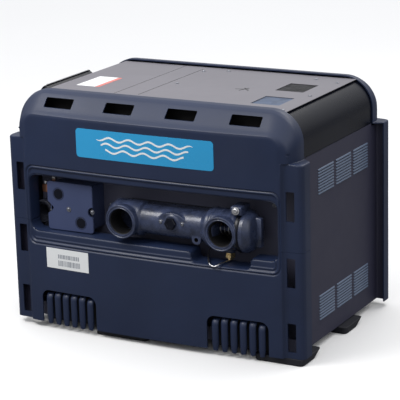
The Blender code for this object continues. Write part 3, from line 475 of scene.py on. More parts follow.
def opening_distance(x, z):
    """Signed distance to the recess with its scoop, with a soft inner corner where they meet."""
    main = box_distance(x, z, *RECESS, RECESS_RADIUS)
    scoop = box_distance(x, z, SCOOP[0], SCOOP[1], SCOOP[2], 0.300, 0.012)
    blend = np.maximum(0.010 - np.abs(main - scoop), 0) / 0.010
    return np.minimum(main, scoop) - blend ** 2 * 0.010 / 4


def smooth_step(value, low, high):
    t = np.clip((value - low) / (high - low), 0, 1)
    return t * t * (3 - 2 * t)


def hump(value, centre, half):
    return np.clip(1 - ((value - centre) / half) ** 2, 0, None)


def face_relief(x, z, far):
    """Depth of the face's own mouldings, positive inwards."""
    relief = np.zeros_like(x)
    edge = 0.337 - np.abs(x)
    upper = box_distance(x, z, -0.337, 0.337, 0.0, 0.533, 0.030)
    relief += 0.0012 * np.clip(1 + upper / 0.008, 0, 1) ** 2 * (z > LEDGE_Z - 0.02)
    relief += 0.0008 * np.clip(1 - (edge + 0.003) / 0.006, 0, 1) ** 2 * (z <= LEDGE_Z - 0.02)
    if far:
        return relief
    inside = -box_distance(x, z, *FRAME_EDGE, FRAME_RADIUS)
    frame_on = smooth_step(inside, -0.0012, 0.0012)
    relief += 0.0030 * frame_on
    relief -= 0.0024 * hump(inside, 0.0055, 0.0032)
    relief += 0.0014 * smooth_step(inside, 0.0085, 0.0105)
    relief -= 0.0018 * hump(inside, 0.0150, 0.0026) * (z < 0.30)
    rim = opening_distance(x, z)
    roll = np.clip(1 - rim / LIP_ROUND, 0, 1)
    relief += LIP_ROUND * (1 - np.sqrt(np.clip(1 - roll ** 2, 0, 1)))
    return relief


def blurred(rings, position):
    """Rings read at a fractional index, averaged over a short span so that corners come out round."""
    offsets = np.linspace(-RING_BLUR, RING_BLUR, 9)
    spans = np.clip(position + offsets, 0, len(rings) - 1)
    keys = np.arange(len(rings))
    return np.array([np.interp(spans, keys, rings[:, column]).mean() for column in range(rings.shape[1])])


def ring_table(rings):
    """Every ring step's values; the first and the last stay exact."""
    table = np.array([blurred(rings, step) for step in RING_STEPS])
    table[0] = rings[0]
    table[-1] = rings[-1]
    return table


EAR_TABLE = ring_table(EAR_RINGS)
HOOD_TABLE = ring_table(HOOD_RINGS)


def station_points(station):
    """(half width, depth, crown share, z) of each ring at one station."""
    kind, value = station
    if kind == "ear":
        return [(half, depth, share, value) for half, depth, share in EAR_TABLE]
    if kind == "ledge":
        angle = math.radians(value)
        mix = 0.16 * (1 - math.cos(angle)) if value <= 90 else 0.16 + 0.84 * (value - 90) / 90
        z = LEDGE_Z - 0.004 + 0.004 * math.sin(min(angle, math.pi / 2)) + 0.0006 * max(value - 90, 0) / 90
        rows = []
        for ear, hood in zip(EAR_TABLE, HOOD_TABLE):
            rows.append((ear[0] + (hood[0] - ear[0]) * mix, ear[1] + (hood[3] - ear[1]) * mix,
                         ear[2] + (hood[4] - ear[2]) * mix, z))
        return rows
    if kind == "hood":
        return [(half, depth, share, value) for half, _, _, depth, share in HOOD_TABLE]
    angle = math.radians(value)
    rows = []
    for half, top, radius, depth, share in HOOD_TABLE:
        rows.append((half - radius + radius * math.cos(angle), depth, share,
                     top - radius + radius * math.sin(angle)))
    return rows


def spread(low, high, coarse, fine, features, reach):
    """Grid lines from low to high, close together near the features."""
    lines = [low]
    while lines[-1] < high:
        near = min((abs(lines[-1] - feature) for feature in features), default=1.0)
        lines.append(lines[-1] + (fine if near < reach else min(coarse, max(fine, (near - reach) * 0.6))))
    lines = lines[:-1]
    if high - lines[-1] < fine * 0.4:
        lines.pop()
    return [*lines, high]


def panel_columns(far):
    features = [-0.337, 0.337]
    if not far:
        features += [-0.331, 0.331, SCOOP[0], SCOOP[1]]
    return np.array(spread(-0.340, 0.340, 0.012, 0.0022 if far else 0.0016, features, 0.013)) / 0.340


def upper_stations(far):
    features = [] if far else [0.384, 0.400, 0.408]
    ears = [("ear", z) for z in spread(SEAM_Z + 0.0003, LEDGE_Z - 0.006, 0.012, 0.0014, features, 0.010)]
    ledge = [("ledge", angle) for angle in (0, 22, 45, 67, 90, 112, 135, 158, 176)]
    hood = [("hood", z) for z in (0.4732, 0.4750, 0.480, 0.487, 0.495)]
    return [*ears, *ledge, *hood, *[("arc", 90 * step / 18) for step in range(19)]]


def lower_stations(far):
    features = [] if far else [0.2115, 0.220, 0.232, 0.245, 0.262]
    return [("ear", z) for z in spread(PANEL_BOTTOM, SEAM_Z - 0.0003, 0.012, 0.0014, features, 0.010)]


def end_surface(name, stations, far):
    """The outer skin of one half of an end, before its wall and openings."""
    outwards = 1 if far else -1
    plane = FAR_Y if far else NEAR_Y
    columns = panel_columns(far)
    ring_count = len(RING_STEPS)
    rows = []
    for station in stations:
        rings = station_points(station)
        half, depth, share, z = rings[0]
        xs = columns * half
        relief = face_relief(xs, np.full_like(xs, z), far)
        ys = depth - share * CROWN * (1 - (xs / HALF_WIDTH) ** 2) + relief
        face = [(x, y, z) for x, y in zip(xs, ys)]
        ends = []
        for index in range(1, ring_count):
            half_k, depth_k, share_k, z_k = rings[index]
            fade = relief[0] * max(0.0, 1 - index / 4)
            y = depth_k - share_k * CROWN * (1 - (half_k / HALF_WIDTH) ** 2) + fade
            ends.append((half_k, y, z_k))
        rows.append([*[(-x, y, z_k) for x, y, z_k in reversed(ends)], *face, *ends])
    width = len(rows[0])
    points = [point for row in rows for point in row]
    faces = []
    for row in range(len(rows) - 1):
        for i in range(width - 1):
            a = row * width + i
            faces.append((a, a + 1, a + 1 + width, a + width))
    if stations[-1][0] == "arc":
        top_rings = station_points(stations[-1])
        base = (len(rows) - 1) * width
        below = [base + ring_count - 1 + i for i in range(len(columns))]
        for index in range(1, ring_count):
            half_k, depth_k, share_k, z_k = top_rings[index]
            strip = [base + ring_count - 1 - index]
            for column in columns[1:-1]:
                x = column * half_k
                y = depth_k - share_k * CROWN * (1 - (x / HALF_WIDTH) ** 2)
                fade = 0.0012 * max(0.0, 1 - index / 4)
                strip.append(len(points))
                points.append((x, y + fade, z_k))
            strip.append(base + ring_count - 1 + len(columns) - 1 + index)
            for i in range(len(columns) - 1):
                faces.append((below[i], below[i + 1], strip[i + 1], strip[i]))
            below = strip
    points = [(x, plane - outwards * y, z) for x, y, z in points]
    made = piece(name, points, faces, "panel", None)
    builder = bmesh.new()
    builder.from_mesh(made.data)
    middle = min(builder.faces, key=lambda face: (face.calc_center_median() - Vector((0, plane, 0.45))).length
                 if stations[-1][0] == "arc" else
                 (face.calc_center_median() - Vector((0, plane, 0.15))).length)
    if middle.normal.y * outwards < 0:
        bmesh.ops.reverse_faces(builder, faces=builder.faces)
    builder.to_mesh(made.data)
    builder.free()
    wall = made.modifiers.new("Wall", "SOLIDIFY")
    wall.thickness = 0.003
    wall.offset = -1
    apply_modifiers(made)
    return made


def ear_slot_outlines(bottoms):
    outlines = []
    for bottom in bottoms:
        for side in (-1, 1):
            low, high = sorted((side * EAR_SLOT_X[0], side * EAR_SLOT_X[1]))
            outlines.append(rounded(low, high, bottom, bottom + EAR_SLOT_HEIGHT, 0.0016, 3))
    return outlines


def opening_outline():
    """The recess outline with its scoop, anticlockwise from the right."""
    left, right, low, high = RECESS
    outline = rounded(left, right, low, high, RECESS_RADIUS, 10)
    corner = 0.012
    scoop = []
    for centre_x, centre_z, start, turn in (
            (SCOOP[0] - 0.008, low - 0.008, 90, -90), (SCOOP[0] + corner, SCOOP[2] + corner, 180, 90),
            (SCOOP[1] - corner, SCOOP[2] + corner, 270, 90), (SCOOP[1] + 0.008, low - 0.008, 180, -90)):
        radius = 0.008 if turn < 0 else corner
        for step in range(7):
            angle = math.radians(start + turn * step / 6)
            scoop.append((centre_x + radius * math.cos(angle), centre_z + radius * math.sin(angle)))
    return outline[:-11] + scoop + outline[-11:]


def grille_outlines():
    outlines = []
    for side in (-1, 1):
        low, high = sorted((side * GRILLE_X[0], side * GRILLE_X[1]))
        arch = [point for point in rounded(low, high, 0.0, GRILLE_TOP, 0.020, 8) if point[1] > 0.03]
        outlines.append([(high, 0.0), *arch, (low, 0.0)])
    return outlines


def through(far):
    return (FAR_Y - 0.030, FAR_Y + 0.030) if far else (NEAR_Y - 0.030, NEAR_Y + 0.030)


def make_end(far):
    end = "far" if far else "near"
    upper = end_surface(f"{end}_upper_moulding", upper_stations(far), far)
    lower = end_surface(f"{end}_lower_moulding", lower_stations(far), far)
    low, high = through(far)
    band = [rounded(x - 0.0385, x + 0.0385, 0.5485, 0.5695, 0.0025, 3) for x in BAND_SLOTS]
    boolean(upper, cutters("band_cutter", [*band, *ear_slot_outlines(EAR_SLOTS[2:])], "Y", low, high + 0.02))
    outlines = [*ear_slot_outlines(EAR_SLOTS[:2]), *grille_outlines()]
    boolean(lower, cutters("grille_cutter", outlines, "Y", low, high))
    if not far:
        for half in (upper, lower):
            boolean(half, cutters("recess_cutter", [opening_outline()], "Y", low, high))
    for half, node in ((upper, f"{end}_upper_panel"), (lower, f"{end}_lower_panel")):
        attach(half, MAIN)
        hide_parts(node)
    make_ribs(far)


def make_ribs(far):
    """Six bars in each grille, rounded across and bent back at the top."""
    plane, outwards = (FAR_Y, 1) if far else (NEAR_Y, -1)
    end = "far" if far else "near"
    half, thickness = 0.0088, 0.0065
    for side, word in ((-1, "left"), (1, "right")):
        bars = []
        for index in range(RIB_COUNT):
            x = side * (RIB_FIRST + RIB_PITCH * index)
            top = 0.0895 if index in (0, RIB_COUNT - 1) else 0.0935
            section = [(half * math.sin(angle), -thickness * (1 - math.cos(angle)) * 0.9)
                       for angle in np.linspace(-math.pi / 2, math.pi / 2, 9)]
            section += [(half * 0.72, -thickness * 1.5), (-half * 0.72, -thickness * 1.5)]
            stem = [(0.0, z) for z in (PANEL_BOTTOM - 0.0035, 0.030, 0.055, top - 0.014)]
            bend = [(0.012 * (1 - math.cos(a)), top - 0.014 + 0.014 * math.sin(a))
                    for a in np.linspace(0.2, math.pi / 2, 7)]
            loops = []
            for level, (back, z) in enumerate([*stem, *bend]):
                shrink = 1.0 if level else 0.72
                front = plane + outwards * (crown(x) + 0.0002)
                loops.append([(x + a * shrink, front + outwards * (b * shrink - back
                              - (0.0015 if level == 0 else 0.0)), z) for a, b in section])
            bars.append(loft(f"{end}_{word}_rib_{index + 1}", loops, "panel", None, smooth=50))
        # Painted shade: a black block behind the ribs, so the gaps between and around them read dark.
        xs = sorted((side * (GRILLE_X[0] - 0.002), side * (GRILLE_X[1] + 0.002)))
        ys = sorted((plane - outwards * 0.0180, plane - outwards * 0.0195))
        painted_pocket_shade = block(f"{end}_{word}_grille_pocket", (xs[0], ys[0], PANEL_BOTTOM + 0.001),
                       (xs[1], ys[1], GRILLE_TOP + 0.004), "black", None, 0.0005)
        made = joined(bars[0], [*bars[1:], painted_pocket_shade])
        made.name = f"{end}_{word}_grille_ribs"
        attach(made, MAIN)


def make_band_shade_strips():
    """Painted shade: a black strip inside each hood, behind its slots, so the slots read dark."""
    half, low, high = BAND_SLOTS[-1] + 0.0725, 0.536, TOP_Z - SHEET - 0.0008
    for name, plane, outwards in (("near_band_shade_strip", NEAR_Y, -1), ("far_band_shade_strip", FAR_Y, 1)):
        ys = sorted((plane - outwards * 0.0560, plane - outwards * 0.0580))
        made = block(name, (-half, ys[0], low), (half, ys[1], high), "black", soft=0.0004)


def make_recess_lip():
    """The wall that turns in around the recess, in two halves with the seam between them."""
    outline = opening_outline()
    for upper in (True, False):
        keep = [p for p in outline if (p[1] > SEAM_Z + 0.001) == upper]
        if upper:
            path = [(RECESS[1], SEAM_Z + 0.0006), *keep, (RECESS[0], SEAM_Z + 0.0006)]
        else:
            first = next(i for i, p in enumerate(outline) if p[0] < 0 and p[1] < SEAM_Z)
            turned_list = outline[first:] + outline[:first]
            keep = [p for p in turned_list if p[1] < SEAM_Z - 0.001]
            path = [(RECESS[0], SEAM_Z - 0.0006), *keep, (RECESS[1], SEAM_Z - 0.0006)]
        rings = []
        for i, (x, z) in enumerate(path):
            before, after = path[max(i - 1, 0)], path[min(i + 1, len(path) - 1)]
            run = Vector((after[0] - before[0], after[1] - before[1])).normalized()
            out = Vector((run.y, -run.x))
            start = NEAR_Y - crown(x) + LIP_ROUND + 0.003
            back = deep(LIP_DEPTH)
            profile = ((0.0002, start - 0.0026), (-0.0006, start), (-0.0016, back), (0.0020, back),
                       (0.0026, start))
            rings.append([(x + out.x * a, y, z + out.y * a) for a, y in profile])
        name = "upper_recess_lip" if upper else "lower_recess_lip"
        made = loft(name, rings, "panel")


# ---------------------------------------------------------------- sides, shoulders and top

def side_plan(side):
    """Plan of a side sheet with soft folds."""
    near, far = SIDE_LOW[1], SIDE_HIGH[1]
    outer = [(FLANGE_X, near), (FLANGE_X, near + SHEET)]
    fold = 0.003
    for start, centre_y in ((270, near + SHEET + fold), (180, far - SHEET - fold)):
        for step in range(5):
            angle = math.radians(start - 90 * step / 4)
            outer.append((SIDE_X + fold + fold * math.cos(angle), centre_y + fold * math.sin(angle)))
    outer += [(FLANGE_X, far - SHEET), (FLANGE_X, far), (SIDE_X - SHEET, far), (SIDE_X - SHEET, near)]
    return [(side * a, b) for a, b in outer]


LOUVRE_YS = (-0.066, 0.032, 0.130)
LOUVRE_BOTTOMS = (0.066, 0.369)
LOUVRE_LENGTH = 0.085
LOUVRE_COUNT = 9
LOUVRE_PITCH = 0.0070


def louvre_blades(name):
    """Pressed hoods over the slots, open below."""
    points, faces = [], []
    for bottom in LOUVRE_BOTTOMS:
        for centre in LOUVRE_YS:
            for index in range(LOUVRE_COUNT):
                z = bottom + LOUVRE_PITCH * index
                first = len(points)
                profile = [(0.0000, 0.0046), (0.0012, 0.0040), (0.0022, 0.0026), (0.0024, 0.0010),
                           (0.0019, 0.0010), (0.0016, 0.0024), (0.0008, 0.0036), (-0.0006, 0.0040)]
                count = len(profile)
                ends = ((-0.5, 0.15), (-0.485, 0.75), (-0.46, 1.0), (0.46, 1.0), (0.485, 0.75), (0.5, 0.15))
                for share, reach in ends:
                    for out, up in profile:
                        points.append((SIDE_X + out * reach, centre + share * LOUVRE_LENGTH, z + up))
                for row in range(len(ends) - 1):
                    for i in range(count):
                        j = (i + 1) % count
                        a = first + row * count
                        faces.append((a + i, a + j, a + count + j, a + count + i))
                faces.append(tuple(first + i for i in range(count))[::-1])
                faces.append(tuple(first + (len(ends) - 1) * count + i for i in range(count)))
    # The hoods take the paler louvre colour, a painted highlight.
    return piece(name, points, faces, "louvre", None, 45)


def ledge_notches():
    outlines = []
    for low, high in ((NEAR_Y, TOP_NEAR + 0.0003), (TOP_FAR - 0.0003, FAR_Y)):
        outlines.append([(low, LEDGE_Z - 0.008), (high, LEDGE_Z - 0.008), (high, 0.6), (low, 0.6)])
    return outlines


def make_sides():
    low, high = SIDE_LOW[2], SIDE_HIGH[2]
    for side, node in ((1, "right_side_panel"), (-1, "left_service_panel")):
        loops = [on_axis(side_plan(side), "Z", low), on_axis(side_plan(side), "Z", high)]
        made = loft(f"{node}_sheet", loops, "side", None)
        xs = sorted((side * (SIDE_X - 0.01), side * (FLANGE_X + 0.01)))
        boolean(made, cutters("notch_cutter", ledge_notches(), "X", *xs))
        xs = sorted((side * (SIDE_X - 0.008), side * (SIDE_X + 0.008)))
        if side > 0:
            slots = []
            for bottom in LOUVRE_BOTTOMS:
                for centre in LOUVRE_YS:
                    for index in range(LOUVRE_COUNT):
                        z = bottom + LOUVRE_PITCH * index
                        slots.append(rounded(centre - LOUVRE_LENGTH / 2, centre + LOUVRE_LENGTH / 2,
                                             z, z + 0.0038, 0.0012, 2))
            boolean(made, cutters("louvre_cutter", slots, "X", *xs))
            joined(made, [louvre_blades("louvre_blades")])
        else:
            pull = rounded(deep(0.204), deep(0.304), 0.405, 0.430, 0.012, 6)
            boolean(made, cutters("pull_cutter", [pull], "X", *xs))
            make_pull_trim(pull)
        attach(made, MAIN)
        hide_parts(node)


def make_pull_trim(outline):
    """Rolled rim around the service panel's finger pull."""
    centre = Vector((sum(a for a, _ in outline), sum(b for _, b in outline))) / len(outline)
    loops = []
    for out, grow in ((0.0000, 0.0030), (0.0012, 0.0022), (0.0014, 0.0008), (0.0002, -0.0006),
                      (-0.0060, -0.0006), (-0.0060, 0.0000), (-0.0010, 0.0000)):
        ring = []
        for a, b in outline:
            away = (Vector((a, b)) - centre).normalized()
            ring.append((-SIDE_X - out, a + away.x * grow, b + away.y * grow))
        loops.append(ring)
    made = loft("finger_pull_trim", loops, "trim", closed=True)


def shoulder_section(side):
    wall = 0.002
    centre_x, centre_z = SIDE_X - SHOULDER_RADIUS, TOP_Z - SHOULDER_RADIUS
    outer = [(SIDE_X, LEDGE_Z + 0.0005), (SIDE_X, LEDGE_Z + 0.015)]
    inner = [(SIDE_X - wall, LEDGE_Z + 0.0005), (SIDE_X - wall, LEDGE_Z + 0.015)]
    for step in range(41):
        angle = math.radians(72 * step / 40)
        for points, reach in ((outer, SHOULDER_RADIUS), (inner, SHOULDER_RADIUS - wall)):
            points.append((centre_x + reach * math.cos(angle), centre_z + reach * math.sin(angle)))
    return [(side * a, b) for a, b in outer + inner[::-1]]


def keypad_matrix():
    """Frame of the keypad, from the buttons' own pressing direction."""
    tilt = math.radians(40)
    outward = Vector((-math.cos(tilt), 0, math.sin(tilt)))
    up_slope = Vector((math.sin(tilt), 0, math.cos(tilt)))
    centre = Vector((-SIDE_X + SHOULDER_RADIUS, deep(0.190), TOP_Z - SHOULDER_RADIUS))
    centre += SHOULDER_RADIUS * outward
    turn = Matrix((up_slope, outward.cross(up_slope), outward)).transposed().to_4x4()
    return Matrix.Translation(centre) @ turn


def make_shoulders():
    for side, node in ((1, "right_shoulder"), (-1, "left_shoulder")):
        section = shoulder_section(side)
        loops = [on_axis(section, "Y", y) for y in np.linspace(TOP_NEAR, TOP_FAR, 9)]
        made = loft(f"{node}_sheet", loops, "trim", None)
        if side < 0:
            cutter = cutters("keypad_cutter", [rounded(-0.0345, 0.0345, -0.1055, 0.1055, 0.004, 3)], "Z",
                             -0.03, 0.03)
            cutter.data.transform(keypad_matrix())
            boolean(made, cutter)
        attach(made, MAIN)
        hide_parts(node)


def screw(name, place, direction, radius, look="screw", body=MAIN):
    """A pan-head screw with a cross recess, on a small washer."""
    profile = [(radius * 1.55, 0.0), (radius * 1.55, radius * 0.16), (radius * 1.02, radius * 0.20),
               (radius, radius * 0.45), (radius * 0.90, radius * 0.68), (radius * 0.62, radius * 0.84)]
    points, faces = [], []
    segments = 20
    for reach, height in profile:
        points += [(a, b, height) for a, b in circle(0, 0, reach, segments)]
    for row in range(len(profile) - 1):
        for i in range(segments):
            j = (i + 1) % segments
            faces.append((row * segments + i, row * segments + j,
                          (row + 1) * segments + j, (row + 1) * segments + i))
    last = (len(profile) - 1) * segments
    cross = []
    for index in range(segments):
        deep_in = index % 5 == 0
        a, b = circle(0, 0, radius * (0.52 if deep_in else 0.16), segments)[index]
        cross.append((a, b, radius * 0.80))
    first = len(points)
    points += cross
    floor = len(points)
    points += [(a * 0.85, b * 0.85, radius * 0.42) for a, b, _ in cross]
    for i in range(segments):
        j = (i + 1) % segments
        faces.append((last + i, last + j, first + j, first + i))
        faces.append((first + i, first + j, floor + j, floor + i))
    faces.append(tuple(floor + i for i in range(segments)))
    faces.append(tuple(range(segments))[::-1])
    turn = Vector(direction).to_track_quat("Z", "Y").to_matrix().to_4x4()
    made = piece(name, points, faces, look, None, 30)
    made.data.transform(Matrix.Translation(Vector(place)) @ turn)
    if body:
        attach(made, body)
    return made


def screw_set(name, places, direction, radius, look="screw"):
    screws = [screw(f"{name}_{i + 1}", place, direction, radius, look, None)
              for i, place in enumerate(places)]
    made = joined(screws[0], screws[1:]) if len(screws) > 1 else screws[0]
    made.name = name
    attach(made, MAIN)
    return made


TOP_SCREWS = ((-0.063, 0.396), (-0.005, 0.418), (-0.054, 0.244), (-0.048, 0.076), (0.010, 0.070),
              (0.249, 0.069), (0.312, 0.074), (0.305, 0.231), (0.239, 0.407), (0.303, 0.387))


def make_top():
    places = [(x, deep(d), TOP_Z) for x, d in TOP_SCREWS]
    screw_set("top_screws", places, (0, 0, 1), 0.0034, "screw")
    for name, x0, x1, d0, d1, look in (
            ("top_sheet_lap", -0.0785, -0.0770, 0.100, 0.420, "black"),
            ("sheet_joint", -0.1398, -0.1388, 0.063, 0.445, "black")):
        made = block(name, (x0, deep(d0), TOP_Z - 0.0004), (x1, deep(d1), TOP_Z + 0.0002), look, soft=0.0001)
    label = block("notice_label", (-0.275, deep(0.140), TOP_Z), (-0.222, deep(0.250), TOP_Z + 0.0004),
                  "white", soft=0.0001)
    stripe = block("notice_stripe", (-0.222, deep(0.140), TOP_Z), (-0.211, deep(0.250), TOP_Z + 0.0004),
                   "red_ink", soft=0.0001)
    make_mark()
    make_exhaust_mesh()
    make_access_plate()


def make_mark():
    """A faint pressed mark: three short crossing bars."""
    bars = []
    for index, turn in enumerate((0.2, 1.25, -0.85)):
        bar = block(f"mark_bar_{index + 1}", (-0.017, -0.0016, -0.0003), (0.017, 0.0016, 0.0004), "iron",
                    None, 0.0003)
        spin = Matrix.Rotation(turn, 4, "Z")
        bar.data.transform(Matrix.Translation((0.122 + 0.006 * index, deep(0.243), TOP_Z)) @ spin)
        bars.append(bar)
    made = joined(bars[0], bars[1:])
    made.name = "pressed_mark"
    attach(made, MAIN)


def make_exhaust_mesh():
    """Woven wire over the exhaust: two crossing sets of wires, one just above the other."""
    (x0, y0, z0), (x1, y1, z1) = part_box("exhaust_grille")
    wires = []
    step, half, soft = 0.0040, 0.0005, 0.0003
    level = (z0 + z1) / 2
    for index in range(int((x1 - x0) / step)):
        x = x0 + step * (index + 0.5)
        wires.append(block(f"wire_x_{index}", (x - half, y0, level - 0.0002), (x + half, y1, level + 0.0008),
                           "iron", None, soft))
    for index in range(int((y1 - y0) / step)):
        y = y0 + step * (index + 0.5)
        wires.append(block(f"wire_y_{index}", (x0, y - half, level - 0.0009), (x1, y + half, level + 0.0001),
                           "iron", None, soft))
    made = joined(wires[0], wires[1:])
    made.name = "exhaust_wire_mesh"
    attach(made, MAIN)
    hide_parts("exhaust_grille")


def make_access_plate():
    (x0, y0, _), (x1, y1, z1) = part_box("access_plate")
    made = block("access_plate_sheet", (x0, y0, z1 - 0.0015), (x1, y1, z1), "zinc", soft=0.0003)
    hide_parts("access_plate")


# ---------------------------------------------------------------- header and recess fittings

def make_header():
    """Moulded header: overlapping rounds remeshed into one body with soft fillets, then bored."""
    axis = (HEADER_Y, HEADER_Z)
    shapes = [
        turned("h_barrel", [(0.020, -0.116), (0.030, -0.114), (0.0350, -0.106), (0.0355, 0.135),
                            (0.0355, 0.150)], axis, "X", "header", None),
        turned("h_housing", [(0.036, 0.138), (0.0455, 0.150), (0.0465, 0.158), (0.0465, 0.222),
                             (0.044, 0.227), (0.044, 0.2285), (0.0500, 0.2290), (0.0500, 0.2400),
                             (0.040, 0.2400)],
               axis, "X", "header", None),
        turned("h_first_collar", [(0.030, -0.104), (0.0405, -0.100), (0.0415, -0.094), (0.0415, -0.034),
                                  (0.0405, -0.028), (0.034, -0.022)], axis, "X", "header", None),
        turned("h_boss", [(0.018, deep(-0.0095)), (0.0195, deep(-0.006)), (0.021, deep(0.020))],
               (0.062, 0.307), "Y", "header", None),
        turned("h_fitting_boss", [(0.011, 0.2445), (0.012, 0.247), (0.014, 0.262)], (0.196, HEADER_Y), "Z",
               "header", None),
        block("h_saddle", (-0.095, deep(0.036), 0.271), (0.225, deep(0.0740), 0.329), "header", None, 0.006)]
    for index, x in enumerate(PORT_XS):
        shapes.append(turned(f"h_port_{index}", [(0.034, HEADER_Y), (0.034, PORT_FACE_Y + 0.026),
                                                 (0.0395, PORT_FACE_Y + 0.020), (0.0400, PORT_FACE_Y + 0.003),
                                                 (0.0390, PORT_FACE_Y + 0.0012)], (x, HEADER_Z), "Y",
                             "header", None))
    flange = [(0.062 + 0.033 * math.cos(t) * (1 + 0.18 * abs(math.cos(t))), 0.3070 + 0.0235 * math.sin(t))
              for t in np.linspace(0, math.tau, 40, endpoint=False)]
    shapes.append(loft("h_oval", [on_axis(flange, "Y", deep(-0.0060)), on_axis(flange, "Y", deep(0.012))],
                       "header", None))
    lug = rounded(0.112, 0.136, 0.262, 0.296, 0.010, 5)
    shapes.append(loft("h_lug", [on_axis(lug, "Y", deep(-0.004)), on_axis(lug, "Y", deep(0.022))], "header",
                       None))
    for index in range(3):
        x = 0.160 + 0.024 * index
        band = [(0.046, x), (0.0480, x + 0.001), (0.0480, x + 0.004), (0.046, x + 0.005)]
        shapes.append(turned(f"h_band_{index}", band, axis, "X", "header", None))
    body = joined(shapes[0], shapes[1:])
    body.name = "cast_header"
    remesh = body.modifiers.new("Fuse", "REMESH")
    remesh.mode = "VOXEL"
    remesh.voxel_size = 0.0016
    remesh.use_smooth_shade = True
    soften = body.modifiers.new("Soften", "SMOOTH")
    soften.factor = 0.5
    soften.iterations = 3
    apply_modifiers(body, 180)
    body.data.materials.clear()
    body.data.materials.append(MATERIALS["header"])
    bores = [turned("main_bore", [(0.029, -0.102), (0.029, 0.168)], axis, "X", "black", None, 40),
             turned("housing_bore", [(0.0425, 0.163), (0.0425, 0.250)], axis, "X", "black", None, 40)]
    for x in PORT_XS:
        bores.append(turned(f"port_bore_{x}", [(0.0330, deep(-0.06)), (0.0330, PORT_FACE_Y + 0.0040),
                                               (0.0300, PORT_FACE_Y + 0.0060), (0.0280, deep(0.0201))],
                            (x, HEADER_Z), "Y", "black", None, 48))
    for x in (-0.045, 0.200):
        bores.append(turned(f"way_{x}", [(0.018, deep(0.03)), (0.018, deep(0.09))], (x, HEADER_Z), "Y",
                            "black", None, 32))
    for bore in bores:
        boolean(body, bore)
    lug_hole = turned("lug_hole", [(0.0052, deep(-0.02)), (0.0052, deep(0.03))], (0.124, 0.273), "Y", "black",
                      None, 24)
    boolean(body, lug_hole)
    body.data.shade_smooth()
    body.data.set_sharp_from_angle(angle=math.radians(50))
    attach(body, MAIN)
    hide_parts("header_body")
    make_port_lips()


def make_port_lips():
    """Two rings on each port: an outer roll and an inner seat with a groove between."""
    for word, x in zip(("first", "second"), PORT_XS):
        y = PORT_FACE_Y
        outer = [(0.0405, y + 0.0150), (0.0405, y + 0.0025), (0.0400, y + 0.0008), (0.0390, y),
                 (0.0375, y), (0.0365, y + 0.0008), (0.0360, y + 0.0030), (0.0345, y + 0.0034),
                 (0.0342, y + 0.0012), (0.0334, y + 0.0005), (0.0322, y + 0.0006), (0.0315, y + 0.0016),
                 (0.0312, y + 0.0090), (0.0312, y + 0.0400), (0.0330, y + 0.0400), (0.0335, y + 0.0150)]
        made = turned(f"{word}_port_lip", outer, (x, HEADER_Z), "Y", "header", closed=True, segments=72)
        # Painted shade: a black sleeve inside each port bore.
        dark = turned(f"{word}_port_bore_shade", [(0.0313, y + 0.006), (0.0313, y + 0.055), (0.0300, y + 0.055),
                                             (0.0300, y + 0.010)], (x, HEADER_Z), "Y", "black",
                      closed=True, segments=48)


